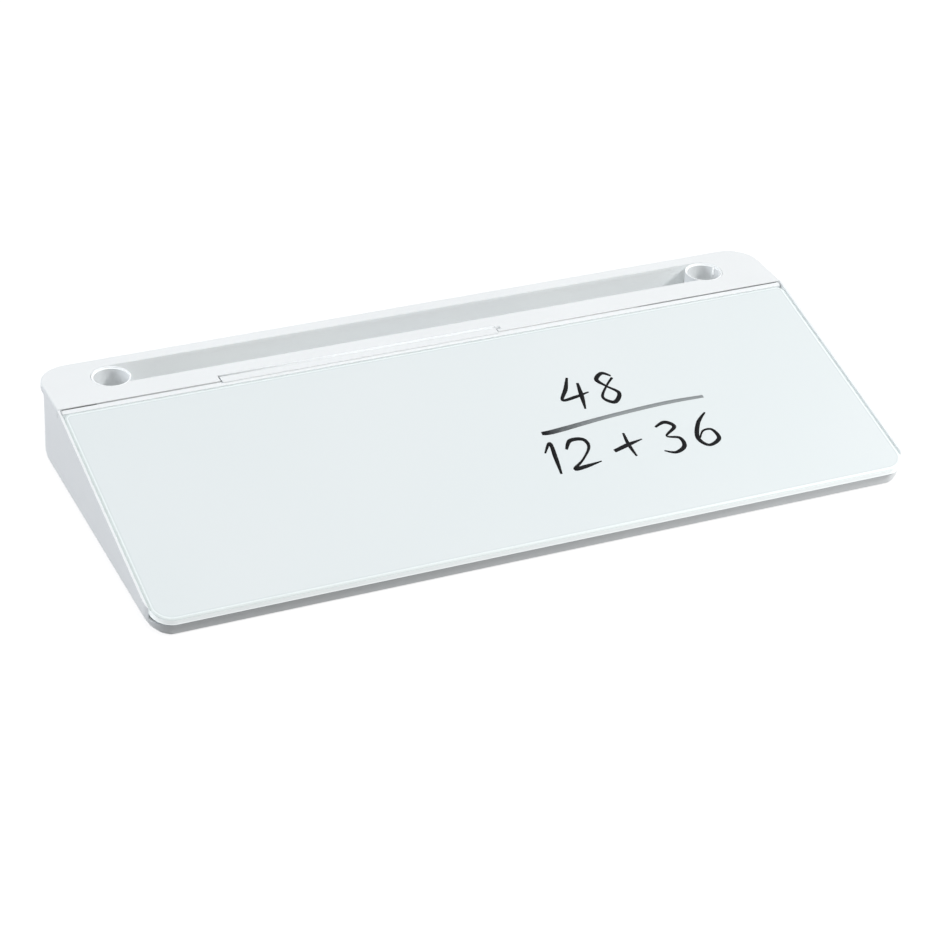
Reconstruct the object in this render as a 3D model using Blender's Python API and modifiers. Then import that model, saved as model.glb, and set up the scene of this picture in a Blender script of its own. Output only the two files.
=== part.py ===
"""Desktop glass whiteboard: a hollow wedge with a hinged glass lid, a pen slot and two pen cups.

Metres, +Z up. X runs along the width, -Y is the low front edge. The origin is under the middle.
"""

import math

import bmesh
import bpy
from mathutils import Matrix, Vector

# Overall size
WIDTH = 0.450
DEPTH = 0.2047
HEIGHT = 0.050
LIP_HEIGHT = 0.0123

# Fits between pieces
CLEARANCE = 0.0003
LID_GAP = 0.0008
LID_STEP = 0.0004
LID_SIDE_GAP = 0.0005
OVERLAP = 0.0005
OVERRUN = 0.006

# Body shell
LIP_REACH = 0.003
SHELF_OVERHANG = 0.0025
FRONT_RADIUS = 0.0125
REAR_RADIUS = 0.0215
SHELF_RADIUS = 0.018
SHELF_FRONT_CORNER = 0.0004
SHELF_SLAB = 0.004
SHELF_PLATE = 0.0024
SHELF_EDGE_ROUND = 0.001
WALL = 0.0022
RIM_WALL = 0.0013
RIM_RISE = 0.0005
SIDE_ROUND = 0.0085
FRONT_ROUND = 0.0005
SHELL_BOTTOM = 0.001
BOTTOM_WALL = 0.0012
FRONT_BOTTOM_WALL = 0.002
FLANGE_WIDTH = 0.002
FLANGE_FRONT_WIDTH = 0.002
FLANGE_BOTTOM = 0.0036
FLANGE_THICKNESS = 0.0019
SLIT_DEPTH = 0.005
RELIEF_SKIN = 0.0006
RELIEF_REACH = 0.0016
RELIEF_LEFT_LENGTH = 0.020
RELIEF_RIGHT_LENGTH = 0.093

# Pen slot, its trough and the two pen cups
SLOT_FROM_BACK = 0.0092
SLOT_SIDE_STEP = 0.0009
CUP_END_INSET = 0.039
CUP_FORWARD = 0.0015
CUP_BORE_RADIUS = 0.00975
CUP_WALL = 0.00135
CUP_STEP_WIDTH = 0.0006
CUP_STEP_DEPTH = 0.0008
CUP_HOLE_GAP = 0.00035
CUP_FLOOR = 0.0015
CUP_EDGE_ROUND = 0.0003
CLIP_RIB = (0.0010, 0.0008, 0.0050)
CLIP_RIB_ANGLE = math.radians(28)
PAD_THICKNESS = 0.001
TROUGH_END_GAP = 0.0004
TROUGH_SIDE_GAP = 0.0006
TROUGH_WALL = 0.0016
TROUGH_FLOOR = 0.014
SLOT_PAD_END_GAP = 0.0024
SLOT_PAD_SIDE_GAP = 0.0008

# Trough ears and their bosses
EAR_REACH = 0.013
EAR_WIDTH = 0.012
EAR_THICKNESS = 0.002
EAR_DROP = 0.0076
EAR_SCREW_FROM_END = 0.0080
TROUGH_BOSS_RADIUS = 0.0032

# Lid
LID_FRONT_RADIUS = 0.012
LID_REAR_RADIUS = 0.001
GLASS_THICKNESS = 0.004
GLASS_REAR_RADIUS = 0.0045
GLASS_BEVEL_WIDTH = 0.0012
GLASS_BEVEL_DEPTH = 0.0008
FRAME_THICKNESS = 0.0012
FRAME_INSET = 0.0003
FRAME_FRONT_INSET = 0.0035
FRAME_FRONT_RADIUS = 0.010
REAR_BAR = 0.003
REAR_BAR_DROP = 0.0002
POCKET_CLEARANCE = 0.0005
LID_RIB_DEPTH = 0.002
LID_RIB_WALL = 0.0012
LID_RIB_BORDER = 0.022
LID_CROSS_RIB_SHARES = (-0.6, -0.2, 0.2, 0.6)
LID_LONG_RIB_SHARES = (0.25, 0.75)

# Tape strips that hold the glass
TAPE_WIDTH = 0.010
TAPE_THICKNESS = 0.0003
TAPE_RECESS = 0.0006
TAPE_EDGE = 0.006
TAPE_CORNER_GAP = 0.005

# Hinge
TONGUE_FROM_LEFT = 0.095
TONGUE_LENGTH = 0.168
TONGUE_END_GAP = 0.0008
TONGUE_ROOT = 0.0012
NOTCH_DEPTH = 0.0059
NOTCH_GAP = 0.00035
KNUCKLE_RADIUS = 0.002
ROD_RADIUS = 0.001
ROD_REACH = 0.012
ROD_END_GAP = 0.001
WINDOW_WIDTH = 0.0027
WINDOW_LENGTH = 0.003
RAIL_LEFT_REACH = 0.060
RAIL_RIGHT_REACH = 0.059
RAIL_FORWARD = 0.0025
RAIL_TROUGH_GAP = 0.0002
RAIL_THICKNESS = 0.0022
RAIL_DROP = 0.0045
SADDLE_LENGTH = 0.0085
SADDLE_WIDTH = 0.006
RAIL_BOSS_RADIUS = 0.0025
RAIL_BOSS_STEP = 0.0006
RAIL_BOSS_INSET = 0.0285

# Bottom cover, its screws and the feet
COVER_BOTTOM = 0.0013
COVER_BOSS_RADIUS = 0.0035
COVER_BOSS_TOP = 0.009
COVER_BOSS_INSET = 0.014
COVER_BOSS_FROM_FRONT = 0.020
COVER_BOSS_FROM_BACK = 0.028
TAB_WIDTH = 0.012
TAB_THICKNESS = 0.0023
TAB_REACH = 0.0190
TAB_SIDE_INSET = 0.0045
COVER_RIB_WALL = 0.0016
COVER_RIB_INSET = 0.035
COVER_RIB_SPACING = 0.0108
FOOT_RADIUS = 0.0065
FOOT_HEIGHT = 0.0015
FOOT_RECESS = 0.0005
FOOT_SIDE_INSET = 0.035
FOOT_FROM_FRONT = 0.0207
FOOT_FROM_BACK = 0.0205

# Screws
SCREW_RADIUS = 0.001
SCREW_HEAD_RADIUS = 0.002
SCREW_HEAD_HEIGHT = 0.0012
SCREW_HEAD_ROUND = 0.0004
SCREW_LENGTH = 0.0056
COVER_SCREW_HEAD_HEIGHT = 0.001
COVER_SCREW_HEAD_RADIUS = 0.0026
COVER_SCREW_LENGTH = 0.0045

# Lid bumpers
BUMPER_RADIUS = 0.0025
BUMPER_THICKNESS = 0.001
BUMPER_PROUD = 0.0002

# Smoothness of round shapes
QUARTER_TURN = 90
CORNER_STEPS = 8
ROUND_STEPS = 4
CUP_STEPS = 48
HOLE_STEPS = 48
SMALL_STEPS = 20
SMOOTH_ANGLE = math.radians(30)
MERGE_DISTANCE = 0.000001

# Places worked out from the sizes above
FRONT = -DEPTH / 2
BACK = DEPTH / 2
CUP_RADIUS = CUP_BORE_RADIUS + CUP_WALL
CUP_SPACING = WIDTH - 2 * CUP_END_INSET
SLOT_WIDTH = 2 * (CUP_RADIUS - SLOT_SIDE_STEP)
TROUGH_LENGTH = CUP_SPACING + 2 * (CUP_RADIUS + TROUGH_END_GAP)
TROUGH_RADIUS = CUP_RADIUS + TROUGH_END_GAP
TROUGH_BEFORE_SLOT = CUP_RADIUS + TROUGH_SIDE_GAP + CUP_FORWARD - SLOT_WIDTH / 2
TROUGH_WIDTH = SLOT_WIDTH + TROUGH_BEFORE_SLOT
RAIL_BOSS_BACK = NOTCH_DEPTH + RAIL_BOSS_STEP + RAIL_BOSS_RADIUS
SHELF_LEDGE = RAIL_BOSS_BACK + RAIL_BOSS_RADIUS + CLEARANCE + TROUGH_WALL + TROUGH_BEFORE_SLOT
SHELF_DEPTH = SLOT_FROM_BACK + SLOT_WIDTH + SHELF_LEDGE
SHELF_FRONT = BACK - SHELF_DEPTH
BODY_FRONT = FRONT + LIP_REACH
BODY_BACK = BACK - SHELF_OVERHANG
PLATE_UNDERSIDE = HEIGHT - SHELF_PLATE
REBATE_INSET = SIDE_ROUND + BOTTOM_WALL
REBATE_FRONT_INSET = FRONT_ROUND + FRONT_BOTTOM_WALL
FLANGE_INSET = REBATE_INSET + FLANGE_WIDTH
FLANGE_FRONT_INSET = REBATE_FRONT_INSET + FLANGE_FRONT_WIDTH
FLANGE_TOP = FLANGE_BOTTOM + FLANGE_THICKNESS
COVER_TOP = FLANGE_BOTTOM - CLEARANCE
SLOT_BACK = BACK - SLOT_FROM_BACK
SLOT_FRONT = SLOT_BACK - SLOT_WIDTH
CUP_Y = (SLOT_FRONT + SLOT_BACK) / 2 - CUP_FORWARD
CUP_BOTTOM = TROUGH_FLOOR + CLEARANCE
CUP_HOLE_RADIUS = CUP_RADIUS + CUP_HOLE_GAP
TROUGH_Y = SLOT_BACK - TROUGH_WIDTH / 2
TROUGH_TOP = PLATE_UNDERSIDE - CLEARANCE
TROUGH_UNDERSIDE = TROUGH_FLOOR - TROUGH_WALL
EAR_TOP = PLATE_UNDERSIDE - EAR_DROP
EAR_ROOT = TROUGH_LENGTH / 2 + TROUGH_WALL / 2
EAR_SCREW_X = TROUGH_LENGTH / 2 + EAR_SCREW_FROM_END
LID_BACK_Y = SHELF_FRONT - LID_GAP
LID_BACK_Z = HEIGHT - LID_STEP
SLOPE = math.atan2(LID_BACK_Z - LIP_HEIGHT, LID_BACK_Y - FRONT)
LID_HALF = WIDTH / 2 - RIM_WALL - LID_SIDE_GAP
LID_THICKNESS = GLASS_THICKNESS + CLEARANCE + FRAME_THICKNESS
LID_LENGTH = (LID_BACK_Y - FRONT + GLASS_BEVEL_DEPTH * math.sin(SLOPE)) / math.cos(SLOPE)
POCKET_DEPTH = LID_THICKNESS + POCKET_CLEARANCE
TAPE_CORNER = LID_FRONT_RADIUS + TAPE_CORNER_GAP
TONGUE_LEFT = TONGUE_FROM_LEFT - WIDTH / 2
TONGUE_RIGHT = TONGUE_LEFT + TONGUE_LENGTH
AXIS_Y = SHELF_FRONT + NOTCH_DEPTH - NOTCH_GAP - KNUCKLE_RADIUS
AXIS_Z = HEIGHT - KNUCKLE_RADIUS
BORE_RADIUS = ROD_RADIUS + CLEARANCE
ROD_LEFT = TONGUE_LEFT - ROD_REACH
ROD_RIGHT = TONGUE_RIGHT + ROD_REACH
RAIL_LEFT = TONGUE_LEFT - RAIL_LEFT_REACH
RAIL_RIGHT = TONGUE_RIGHT + RAIL_RIGHT_REACH
RAIL_TOP = PLATE_UNDERSIDE - RAIL_DROP
RAIL_BOTTOM = RAIL_TOP - RAIL_THICKNESS
RAIL_FRONT = SHELF_FRONT - RAIL_FORWARD
RAIL_BACK = TROUGH_Y - TROUGH_WIDTH / 2 - TROUGH_WALL - RAIL_TROUGH_GAP
SCREW_HOLE_RADIUS = SCREW_RADIUS + CLEARANCE
RAIL_BOSS_Y = SHELF_FRONT + RAIL_BOSS_BACK
RAIL_BOSS_PLACES = (
    (RAIL_LEFT + RAIL_BOSS_INSET, RAIL_BOSS_Y),
    ((RAIL_LEFT + RAIL_RIGHT) / 2, RAIL_BOSS_Y),
    (RAIL_RIGHT - RAIL_BOSS_INSET, RAIL_BOSS_Y),
)
COVER_BOSS_X = WIDTH / 2 - COVER_BOSS_INSET
COVER_BOSS_FRONT_Y = FRONT + COVER_BOSS_FROM_FRONT
COVER_BOSS_BACK_Y = BACK - COVER_BOSS_FROM_BACK
FOOT_PLACES = {
    "foot_front_left": (FOOT_SIDE_INSET - WIDTH / 2, FRONT + FOOT_FROM_FRONT),
    "foot_front_right": (WIDTH / 2 - FOOT_SIDE_INSET, FRONT + FOOT_FROM_FRONT),
    "foot_rear_left": (FOOT_SIDE_INSET - WIDTH / 2, BACK - FOOT_FROM_BACK),
    "foot_rear_right": (WIDTH / 2 - FOOT_SIDE_INSET, BACK - FOOT_FROM_BACK),
}

# The lid's own frame has its origin on the hinge axis and its Z square to the glass
AXIS_TO_BACK = LID_BACK_Y - AXIS_Y
AXIS_TO_TOP = LID_BACK_Z - AXIS_Z
LID_BACK = AXIS_TO_BACK * math.cos(SLOPE) + AXIS_TO_TOP * math.sin(SLOPE)
LID_TOP = AXIS_TO_TOP * math.cos(SLOPE) - AXIS_TO_BACK * math.sin(SLOPE)
LID_FRONT = LID_BACK - LID_LENGTH
GLASS_BOTTOM = LID_TOP - GLASS_THICKNESS
FRAME_TOP = GLASS_BOTTOM - CLEARANCE
FRAME_BOTTOM = FRAME_TOP - FRAME_THICKNESS
GLASS_BACK = LID_BACK - REAR_BAR - CLEARANCE

# Colours, as sRGB from 0 to 1, with roughness
WHITE_PLASTIC = ((0.93, 0.93, 0.93), 0.42)
INNER_PLASTIC = ((0.88, 0.88, 0.87), 0.55)
WHITE_GLASS = ((0.92, 0.93, 0.93), 0.06)
WHITE_TAPE = ((0.80, 0.80, 0.78), 0.80)
GREY_FOAM = ((0.55, 0.56, 0.57), 0.95)
CLEAR_RUBBER = ((0.70, 0.71, 0.72), 0.60)
STEEL = ((0.72, 0.72, 0.73), 0.30)


def clear_scene():
    """Empties the scene of its objects and adds one collection for the parts and one for the cutters."""
    for item in list(bpy.data.objects):
        bpy.data.objects.remove(item, do_unlink=True)
    parts = bpy.data.collections.new("desktop_glass_whiteboard")
    cutters = bpy.data.collections.new("cutters")
    for collection in (parts, cutters):
        bpy.context.scene.collection.children.link(collection)
    return parts, cutters


def linear(channel):
    """One sRGB channel as a linear value."""
    if channel <= 0.04045:
        return channel / 12.92
    return ((channel + 0.055) / 1.055) ** 2.4


def finish_with(item, finish, metallic=0.0):
    """Gives a part a material of its own."""
    colour, roughness = finish
    material = bpy.data.materials.new(item.name)
    material.use_nodes = True
    shader = material.node_tree.nodes["Principled BSDF"]
    shader.inputs["Base Color"].default_value = [linear(channel) for channel in colour] + [1.0]
    shader.inputs["Roughness"].default_value = roughness
    shader.inputs["Metallic"].default_value = metallic
    material.diffuse_color = list(colour) + [1.0]
    item.data.materials.clear()
    item.data.materials.append(material)


def object_from(name, shape):
    """An object from a bmesh, shaded smooth over its shallow edges."""
    mesh = bpy.data.meshes.new(name)
    shape.to_mesh(mesh)
    shape.free()
    mesh.shade_smooth()
    mesh.set_sharp_from_angle(angle=SMOOTH_ANGLE)
    item = bpy.data.objects.new(name, mesh)
    PARTS.objects.link(item)
    return item


def evaluated_shape(item):
    """The shape of an object with its modifiers or curve settings worked out, in its own frame."""
    graph = bpy.context.evaluated_depsgraph_get()
    mesh = bpy.data.meshes.new_from_object(item.evaluated_get(graph))
    shape = bmesh.new()
    shape.from_mesh(mesh)
    bpy.data.meshes.remove(mesh)
    bmesh.ops.remove_doubles(shape, verts=shape.verts, dist=MERGE_DISTANCE)
    return shape


def blocks(name, corners):
    """Boxes, each between its lowest and its highest corner."""
    shape = bmesh.new()
    for low, high in corners:
        size = Vector(high) - Vector(low)
        middle = (Vector(high) + Vector(low)) / 2
        bmesh.ops.create_cube(shape, size=1, matrix=Matrix.LocRotScale(middle, None, size))
    return object_from(name, shape)


def upright_cylinders(name, radius, low, high, places, steps=SMALL_STEPS):
    """Cylinders that stand between two heights."""
    shape = bmesh.new()
    for x, y in places:
        bmesh.ops.create_cone(
            shape,
            cap_ends=True,
            segments=steps,
            radius1=radius,
            radius2=radius,
            depth=high - low,
            matrix=Matrix.Translation((x, y, (low + high) / 2)),
        )
    return object_from(name, shape)


def level_cylinders(name, radius, spans, steps=SMALL_STEPS):
    """Cylinders on the hinge axis, each from a left to a right end."""
    shape = bmesh.new()
    for left, right in spans:
        place = Matrix.Translation(((left + right) / 2, AXIS_Y, AXIS_Z))
        bmesh.ops.create_cone(
            shape,
            cap_ends=True,
            segments=steps,
            radius1=radius,
            radius2=radius,
            depth=right - left,
            matrix=place @ Matrix.Rotation(math.radians(QUARTER_TURN), 4, "Y"),
        )
    return object_from(name, shape)


def arc(centre, radius, start, turn, steps):
    """Points along an arc, both ends included, with its angles in degrees."""
    points = []
    for step in range(steps + 1):
        angle = math.radians(start + turn * step / steps)
        points.append((centre[0] + radius * math.cos(angle), centre[1] + radius * math.sin(angle)))
    return points


def rounded_rectangle(half_width, front, back, front_radius, rear_radius):
    """The outline of a rectangle seen from above, with its own radius at the front and at the rear corners."""
    rear_x = half_width - rear_radius
    front_x = half_width - front_radius
    corners = (
        ((rear_x, back - rear_radius), rear_radius),
        ((-rear_x, back - rear_radius), rear_radius),
        ((-front_x, front + front_radius), front_radius),
        ((front_x, front + front_radius), front_radius),
    )
    outline = []
    for number, (centre, radius) in enumerate(corners):
        outline += arc(centre, radius, number * QUARTER_TURN, QUARTER_TURN, CORNER_STEPS)
    return outline


def body_outline(inset, front_inset=None):
    """The shell's outline seen from above, moved inwards, with another inset at the front where it is given."""
    if front_inset is None:
        front_inset = inset
    front = BODY_FRONT + front_inset
    return rounded_rectangle(
        WIDTH / 2 - inset, front, BODY_BACK - inset, FRONT_RADIUS - inset, REAR_RADIUS - inset
    )


def filled_curve(name, outline, thickness, place):
    """A flat outline filled and given a thickness, as a closed mesh."""
    curve = bpy.data.curves.new(name, "CURVE")
    curve.dimensions = "2D"
    curve.fill_mode = "BOTH"
    curve.extrude = thickness / 2
    spline = curve.splines.new("POLY")
    spline.points.add(len(outline) - 1)
    for point, (across, along) in zip(spline.points, outline):
        point.co = (across, along, 0, 1)
    spline.use_cyclic_u = True
    guide = bpy.data.objects.new(name, curve)
    PARTS.objects.link(guide)
    shape = evaluated_shape(guide)
    bpy.data.objects.remove(guide, do_unlink=True)
    bpy.data.curves.remove(curve)
    bmesh.ops.recalc_face_normals(shape, faces=shape.faces)
    item = object_from(name, shape)
    item.matrix_world = place
    return item


def plate(name, outline, low, high):
    """A flat solid whose outline is seen from above."""
    return filled_curve(name, outline, high - low, Matrix.Translation((0, 0, (low + high) / 2)))


def side_profile(name, outline, left, right):
    """A solid whose outline, in Y and Z, is seen from the side."""
    quarter = math.radians(QUARTER_TURN)
    turn = Matrix.Rotation(quarter, 4, "Z") @ Matrix.Rotation(quarter, 4, "X")
    return filled_curve(name, outline, right - left, Matrix.Translation(((left + right) / 2, 0, 0)) @ turn)


def loft(name, rings):
    """A solid skinned over level rings of equally many points, from the lowest to the highest."""
    shape = bmesh.new()
    skin = []
    for outline, height in rings:
        skin.append([shape.verts.new((x, y, height)) for x, y in outline])
    for lower, upper in zip(skin, skin[1:]):
        for number in range(len(lower)):
            before = number - 1
            shape.faces.new((lower[before], lower[number], upper[number], upper[before]))
    shape.faces.new(list(reversed(skin[0])))
    shape.faces.new(skin[-1])
    return object_from(name, shape)


def turned_shape(profile, steps):
    """A shape turned about Z from a profile of radii and heights that runs down its outer side."""
    mesh = bpy.data.meshes.new("profile")
    points = [(radius, 0, height) for radius, height in profile]
    edges = [(number, number + 1) for number in range(len(points) - 1)]
    mesh.from_pydata(points, edges, [])
    guide = bpy.data.objects.new("profile", mesh)
    PARTS.objects.link(guide)
    screw = guide.modifiers.new("turn", "SCREW")
    screw.steps = steps
    screw.render_steps = steps
    screw.use_merge_vertices = True
    screw.merge_threshold = MERGE_DISTANCE
    shape = evaluated_shape(guide)
    bpy.data.objects.remove(guide, do_unlink=True)
    bpy.data.meshes.remove(mesh)
    return shape


def turned(name, profile, steps):
    """A turned solid."""
    return object_from(name, turned_shape(profile, steps))


def boolean(item, operation, other):
    """Cuts another object from a part or joins it on, and files it with the cutters."""
    modifier = item.modifiers.new(other.name, "BOOLEAN")
    modifier.operation = operation
    modifier.solver = "EXACT"
    modifier.object = other
    PARTS.objects.unlink(other)
    CUTTERS.objects.link(other)
    other.hide_render = True
    other.display_type = "WIRE"


def cut(item, *others):
    """Cuts each of the others from a part."""
    for other in others:
        boolean(item, "DIFFERENCE", other)


def join(item, *others):
    """Joins each of the others to a part."""
    for other in others:
        boolean(item, "UNION", other)


def on_lid(*items):
    """Hangs pieces modelled in the lid's own frame from the hinge axis."""
    for item in items:
        item.parent = LID_PIVOT


def slope_height(y, drop):
    """The height, at a given Y, of the plane that lies a given depth under the glass."""
    return LID_BACK_Z + (y - LID_BACK_Y) * math.tan(SLOPE) - drop / math.cos(SLOPE)


def on_both_sides(x, y):
    """A place and its mirror image across the middle of the width."""
    return [(-x, y), (x, y)]


def cover_boss_places():
    """The middles of the bosses that the bottom cover is screwed to."""
    middle = (COVER_BOSS_FRONT_Y + COVER_BOSS_BACK_Y) / 2
    places = []
    for y in (COVER_BOSS_FRONT_Y, middle, COVER_BOSS_BACK_Y):
        places += on_both_sides(COVER_BOSS_X, y)
    return places


def body_block():
    """The wedge before it is hollowed, with its long lower edges rounded."""
    rings = []
    for step in range(ROUND_STEPS + 1):
        angle = math.radians(QUARTER_TURN * step / ROUND_STEPS)
        inset_share = 1 - math.sin(angle)
        height = SHELL_BOTTOM + SIDE_ROUND * (1 - math.cos(angle))
        rings.append((body_outline(SIDE_ROUND * inset_share, FRONT_ROUND * inset_share), height))
    rings.append((body_outline(0), HEIGHT + OVERLAP))
    return loft("body_shell", rings)


def above_the_wedge():
    """The space over the rims and, behind them, over the block that carries the shelf."""
    shelf_seat = HEIGHT - SHELF_SLAB / 2
    seat_front = SHELF_FRONT - LID_GAP / 4
    rim_end = LID_BACK_Y + (HEIGHT - slope_height(LID_BACK_Y, -RIM_RISE)) / math.tan(SLOPE)
    far_front = FRONT - OVERRUN
    far_back = BACK + OVERRUN
    high = HEIGHT + OVERRUN
    outline = (
        (far_front, slope_height(far_front, -RIM_RISE)),
        (rim_end, HEIGHT),
        (seat_front, HEIGHT),
        (seat_front, shelf_seat),
        (far_back, shelf_seat),
        (far_back, high),
        (far_front, high),
    )
    reach = WIDTH / 2 + OVERRUN
    return side_profile("above_the_wedge", outline, -reach, reach)


def shelf_slab():
    """The flat pen shelf, with a rounded upper edge."""
    front = SHELF_FRONT - LID_GAP * 3 / 4

    def outline(inset):
        return rounded_rectangle(
            WIDTH / 2 - inset, front + inset, BACK - inset, SHELF_FRONT_CORNER, SHELF_RADIUS - inset
        )

    rings = [(outline(0), HEIGHT - SHELF_SLAB)]
    for step in range(ROUND_STEPS + 1):
        angle = math.radians(QUARTER_TURN * step / ROUND_STEPS)
        height = HEIGHT - SHELF_EDGE_ROUND * (1 - math.sin(angle))
        rings.append((outline(SHELF_EDGE_ROUND * (1 - math.cos(angle))), height))
    return loft("shelf_slab", rings)


def lid_pocket():
    """The space that the lid drops into, between the two rims."""
    far_front = FRONT - OVERRUN
    back = SHELF_FRONT - LID_GAP / 2
    high = HEIGHT + OVERRUN
    outline = (
        (far_front, slope_height(far_front, POCKET_DEPTH)),
        (back, slope_height(back, POCKET_DEPTH)),
        (back, high),
        (far_front, high),
    )
    reach = WIDTH / 2 - RIM_WALL
    return side_profile("lid_pocket", outline, -reach, reach)


def through_plate(name, left, right, front, back):
    """A square-cornered cutter through the shelf plate."""
    low = PLATE_UNDERSIDE - OVERRUN
    return blocks(name, [((left, front, low), (right, back, HEIGHT + OVERRUN))])


def bumper_place(side):
    """Where a bumper's foot stands in its recess, on the front boss of one side."""
    depth = POCKET_DEPTH + BUMPER_THICKNESS - BUMPER_PROUD
    place = (side * COVER_BOSS_X, COVER_BOSS_FRONT_Y, slope_height(COVER_BOSS_FRONT_Y, depth))
    return Matrix.Translation(place) @ Matrix.Rotation(SLOPE, 4, "X")


def bumper_recesses():
    """Two round recesses, square to the glass, that the bumpers sit in."""
    shape = bmesh.new()
    for side in (-1, 1):
        bmesh.ops.create_cone(
            shape,
            cap_ends=True,
            segments=SMALL_STEPS,
            radius1=BUMPER_RADIUS + CLEARANCE,
            radius2=BUMPER_RADIUS + CLEARANCE,
            depth=BUMPER_THICKNESS * 2,
            matrix=bumper_place(side) @ Matrix.Translation((0, 0, BUMPER_THICKNESS - CLEARANCE)),
        )
    return object_from("bumper_recesses", shape)


def body_shell():
    """The one-piece shell: shelf, side walls with their rims, front wall and the bosses inside."""
    shell = body_block()
    cut(shell, above_the_wedge())
    join(shell, shelf_slab())
    cut(shell, plate("cavity", body_outline(WALL), FLANGE_TOP, PLATE_UNDERSIDE))

    flange_hole = body_outline(FLANGE_INSET, FLANGE_FRONT_INSET)
    rebate = body_outline(REBATE_INSET, REBATE_FRONT_INSET)
    cut(shell, plate("flange_hole", flange_hole, SHELL_BOTTOM, FLANGE_TOP + OVERLAP))
    cut(shell, plate("cover_rebate", rebate, SHELL_BOTTOM - OVERRUN, FLANGE_BOTTOM))

    tab_bottom = FLANGE_BOTTOM + CLEARANCE
    tab_top = tab_bottom + TAB_THICKNESS
    tab_outer = WIDTH / 2 - TAB_SIDE_INSET
    tabs = []
    posts = []
    for x, y in cover_boss_places():
        ends = sorted((math.copysign(WIDTH / 2 - TAB_REACH, x), math.copysign(tab_outer, x)))
        low = (ends[0], y - TAB_WIDTH / 2, tab_bottom)
        tabs.append((low, (ends[1], y + TAB_WIDTH / 2, tab_top)))
        if y > COVER_BOSS_FRONT_Y:
            posts.append((x, y))
    post_foot = tab_bottom + OVERLAP
    front_posts = on_both_sides(COVER_BOSS_X, COVER_BOSS_FRONT_Y)
    front_top = slope_height(COVER_BOSS_FRONT_Y, 0)
    join(
        shell,
        blocks("cover_tabs", tabs),
        upright_cylinders("cover_posts", COVER_BOSS_RADIUS, post_foot, COVER_BOSS_TOP, posts),
        upright_cylinders("bumper_posts", COVER_BOSS_RADIUS, post_foot, front_top, front_posts),
    )

    reach = WIDTH / 2 + OVERRUN
    slit_low = (-reach, LID_BACK_Y, HEIGHT - SLIT_DEPTH)
    relief_high = HEIGHT - RELIEF_SKIN
    relief_end = WIDTH / 2 - WALL - OVERLAP
    relief_spans = (
        (-relief_end, RELIEF_LEFT_LENGTH - relief_end),
        (relief_end - RELIEF_RIGHT_LENGTH, relief_end),
    )
    reliefs = []
    for left, right in relief_spans:
        low = (left, LID_BACK_Y, PLATE_UNDERSIDE - OVERRUN)
        reliefs.append((low, (right, SHELF_FRONT + RELIEF_REACH, relief_high)))
    cut(
        shell,
        lid_pocket(),
        blocks("rim_slit", [(slit_low, (reach, SHELF_FRONT, HEIGHT + OVERRUN))]),
        blocks("edge_reliefs", reliefs),
        bumper_recesses(),
    )

    window_right = TONGUE_RIGHT + TONGUE_END_GAP + WINDOW_WIDTH
    window_front = AXIS_Y - WINDOW_LENGTH / 2
    cup_places = on_both_sides(CUP_SPACING / 2, CUP_Y)
    notch_back = SHELF_FRONT + NOTCH_DEPTH
    notch_left = TONGUE_LEFT - TONGUE_END_GAP
    notch_right = TONGUE_RIGHT + TONGUE_END_GAP
    hole_low = PLATE_UNDERSIDE - OVERRUN
    hole_high = HEIGHT + OVERRUN
    channel_spans = (
        (ROD_LEFT - ROD_END_GAP, TONGUE_LEFT),
        (TONGUE_RIGHT, ROD_RIGHT + ROD_END_GAP),
    )
    cut(
        shell,
        through_plate("pen_slot", -CUP_SPACING / 2, CUP_SPACING / 2, SLOT_FRONT, SLOT_BACK),
        upright_cylinders("cup_holes", CUP_HOLE_RADIUS, hole_low, hole_high, cup_places, HOLE_STEPS),
        through_plate("tongue_notch", notch_left, notch_right, LID_BACK_Y, notch_back),
        through_plate("rod_window", TONGUE_RIGHT, window_right, window_front, window_front + WINDOW_LENGTH),
        level_cylinders("rod_channels", BORE_RADIUS, channel_spans),
    )

    ear_places = on_both_sides(EAR_SCREW_X, TROUGH_Y)
    boss_top = PLATE_UNDERSIDE + OVERLAP
    rail_boss_foot = RAIL_TOP + CLEARANCE
    ear_boss_foot = EAR_TOP + CLEARANCE
    join(
        shell,
        upright_cylinders("rail_bosses", RAIL_BOSS_RADIUS, rail_boss_foot, boss_top, RAIL_BOSS_PLACES),
        upright_cylinders("trough_bosses", TROUGH_BOSS_RADIUS, ear_boss_foot, boss_top, ear_places),
    )
    radius = SCREW_HOLE_RADIUS
    rail_hole_top = RAIL_BOTTOM + SCREW_LENGTH
    ear_hole_low = EAR_TOP - EAR_THICKNESS
    ear_hole_top = ear_hole_low + SCREW_LENGTH
    cover_hole_top = COVER_BOTTOM + COVER_SCREW_HEAD_HEIGHT + COVER_SCREW_LENGTH + CLEARANCE
    cut(
        shell,
        upright_cylinders("rail_screw_holes", radius, RAIL_BOTTOM, rail_hole_top, RAIL_BOSS_PLACES),
        upright_cylinders("trough_screw_holes", radius, ear_hole_low, ear_hole_top, ear_places),
        upright_cylinders("cover_screw_holes", radius, 0, cover_hole_top, cover_boss_places()),
    )
    finish_with(shell, WHITE_PLASTIC)


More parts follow.
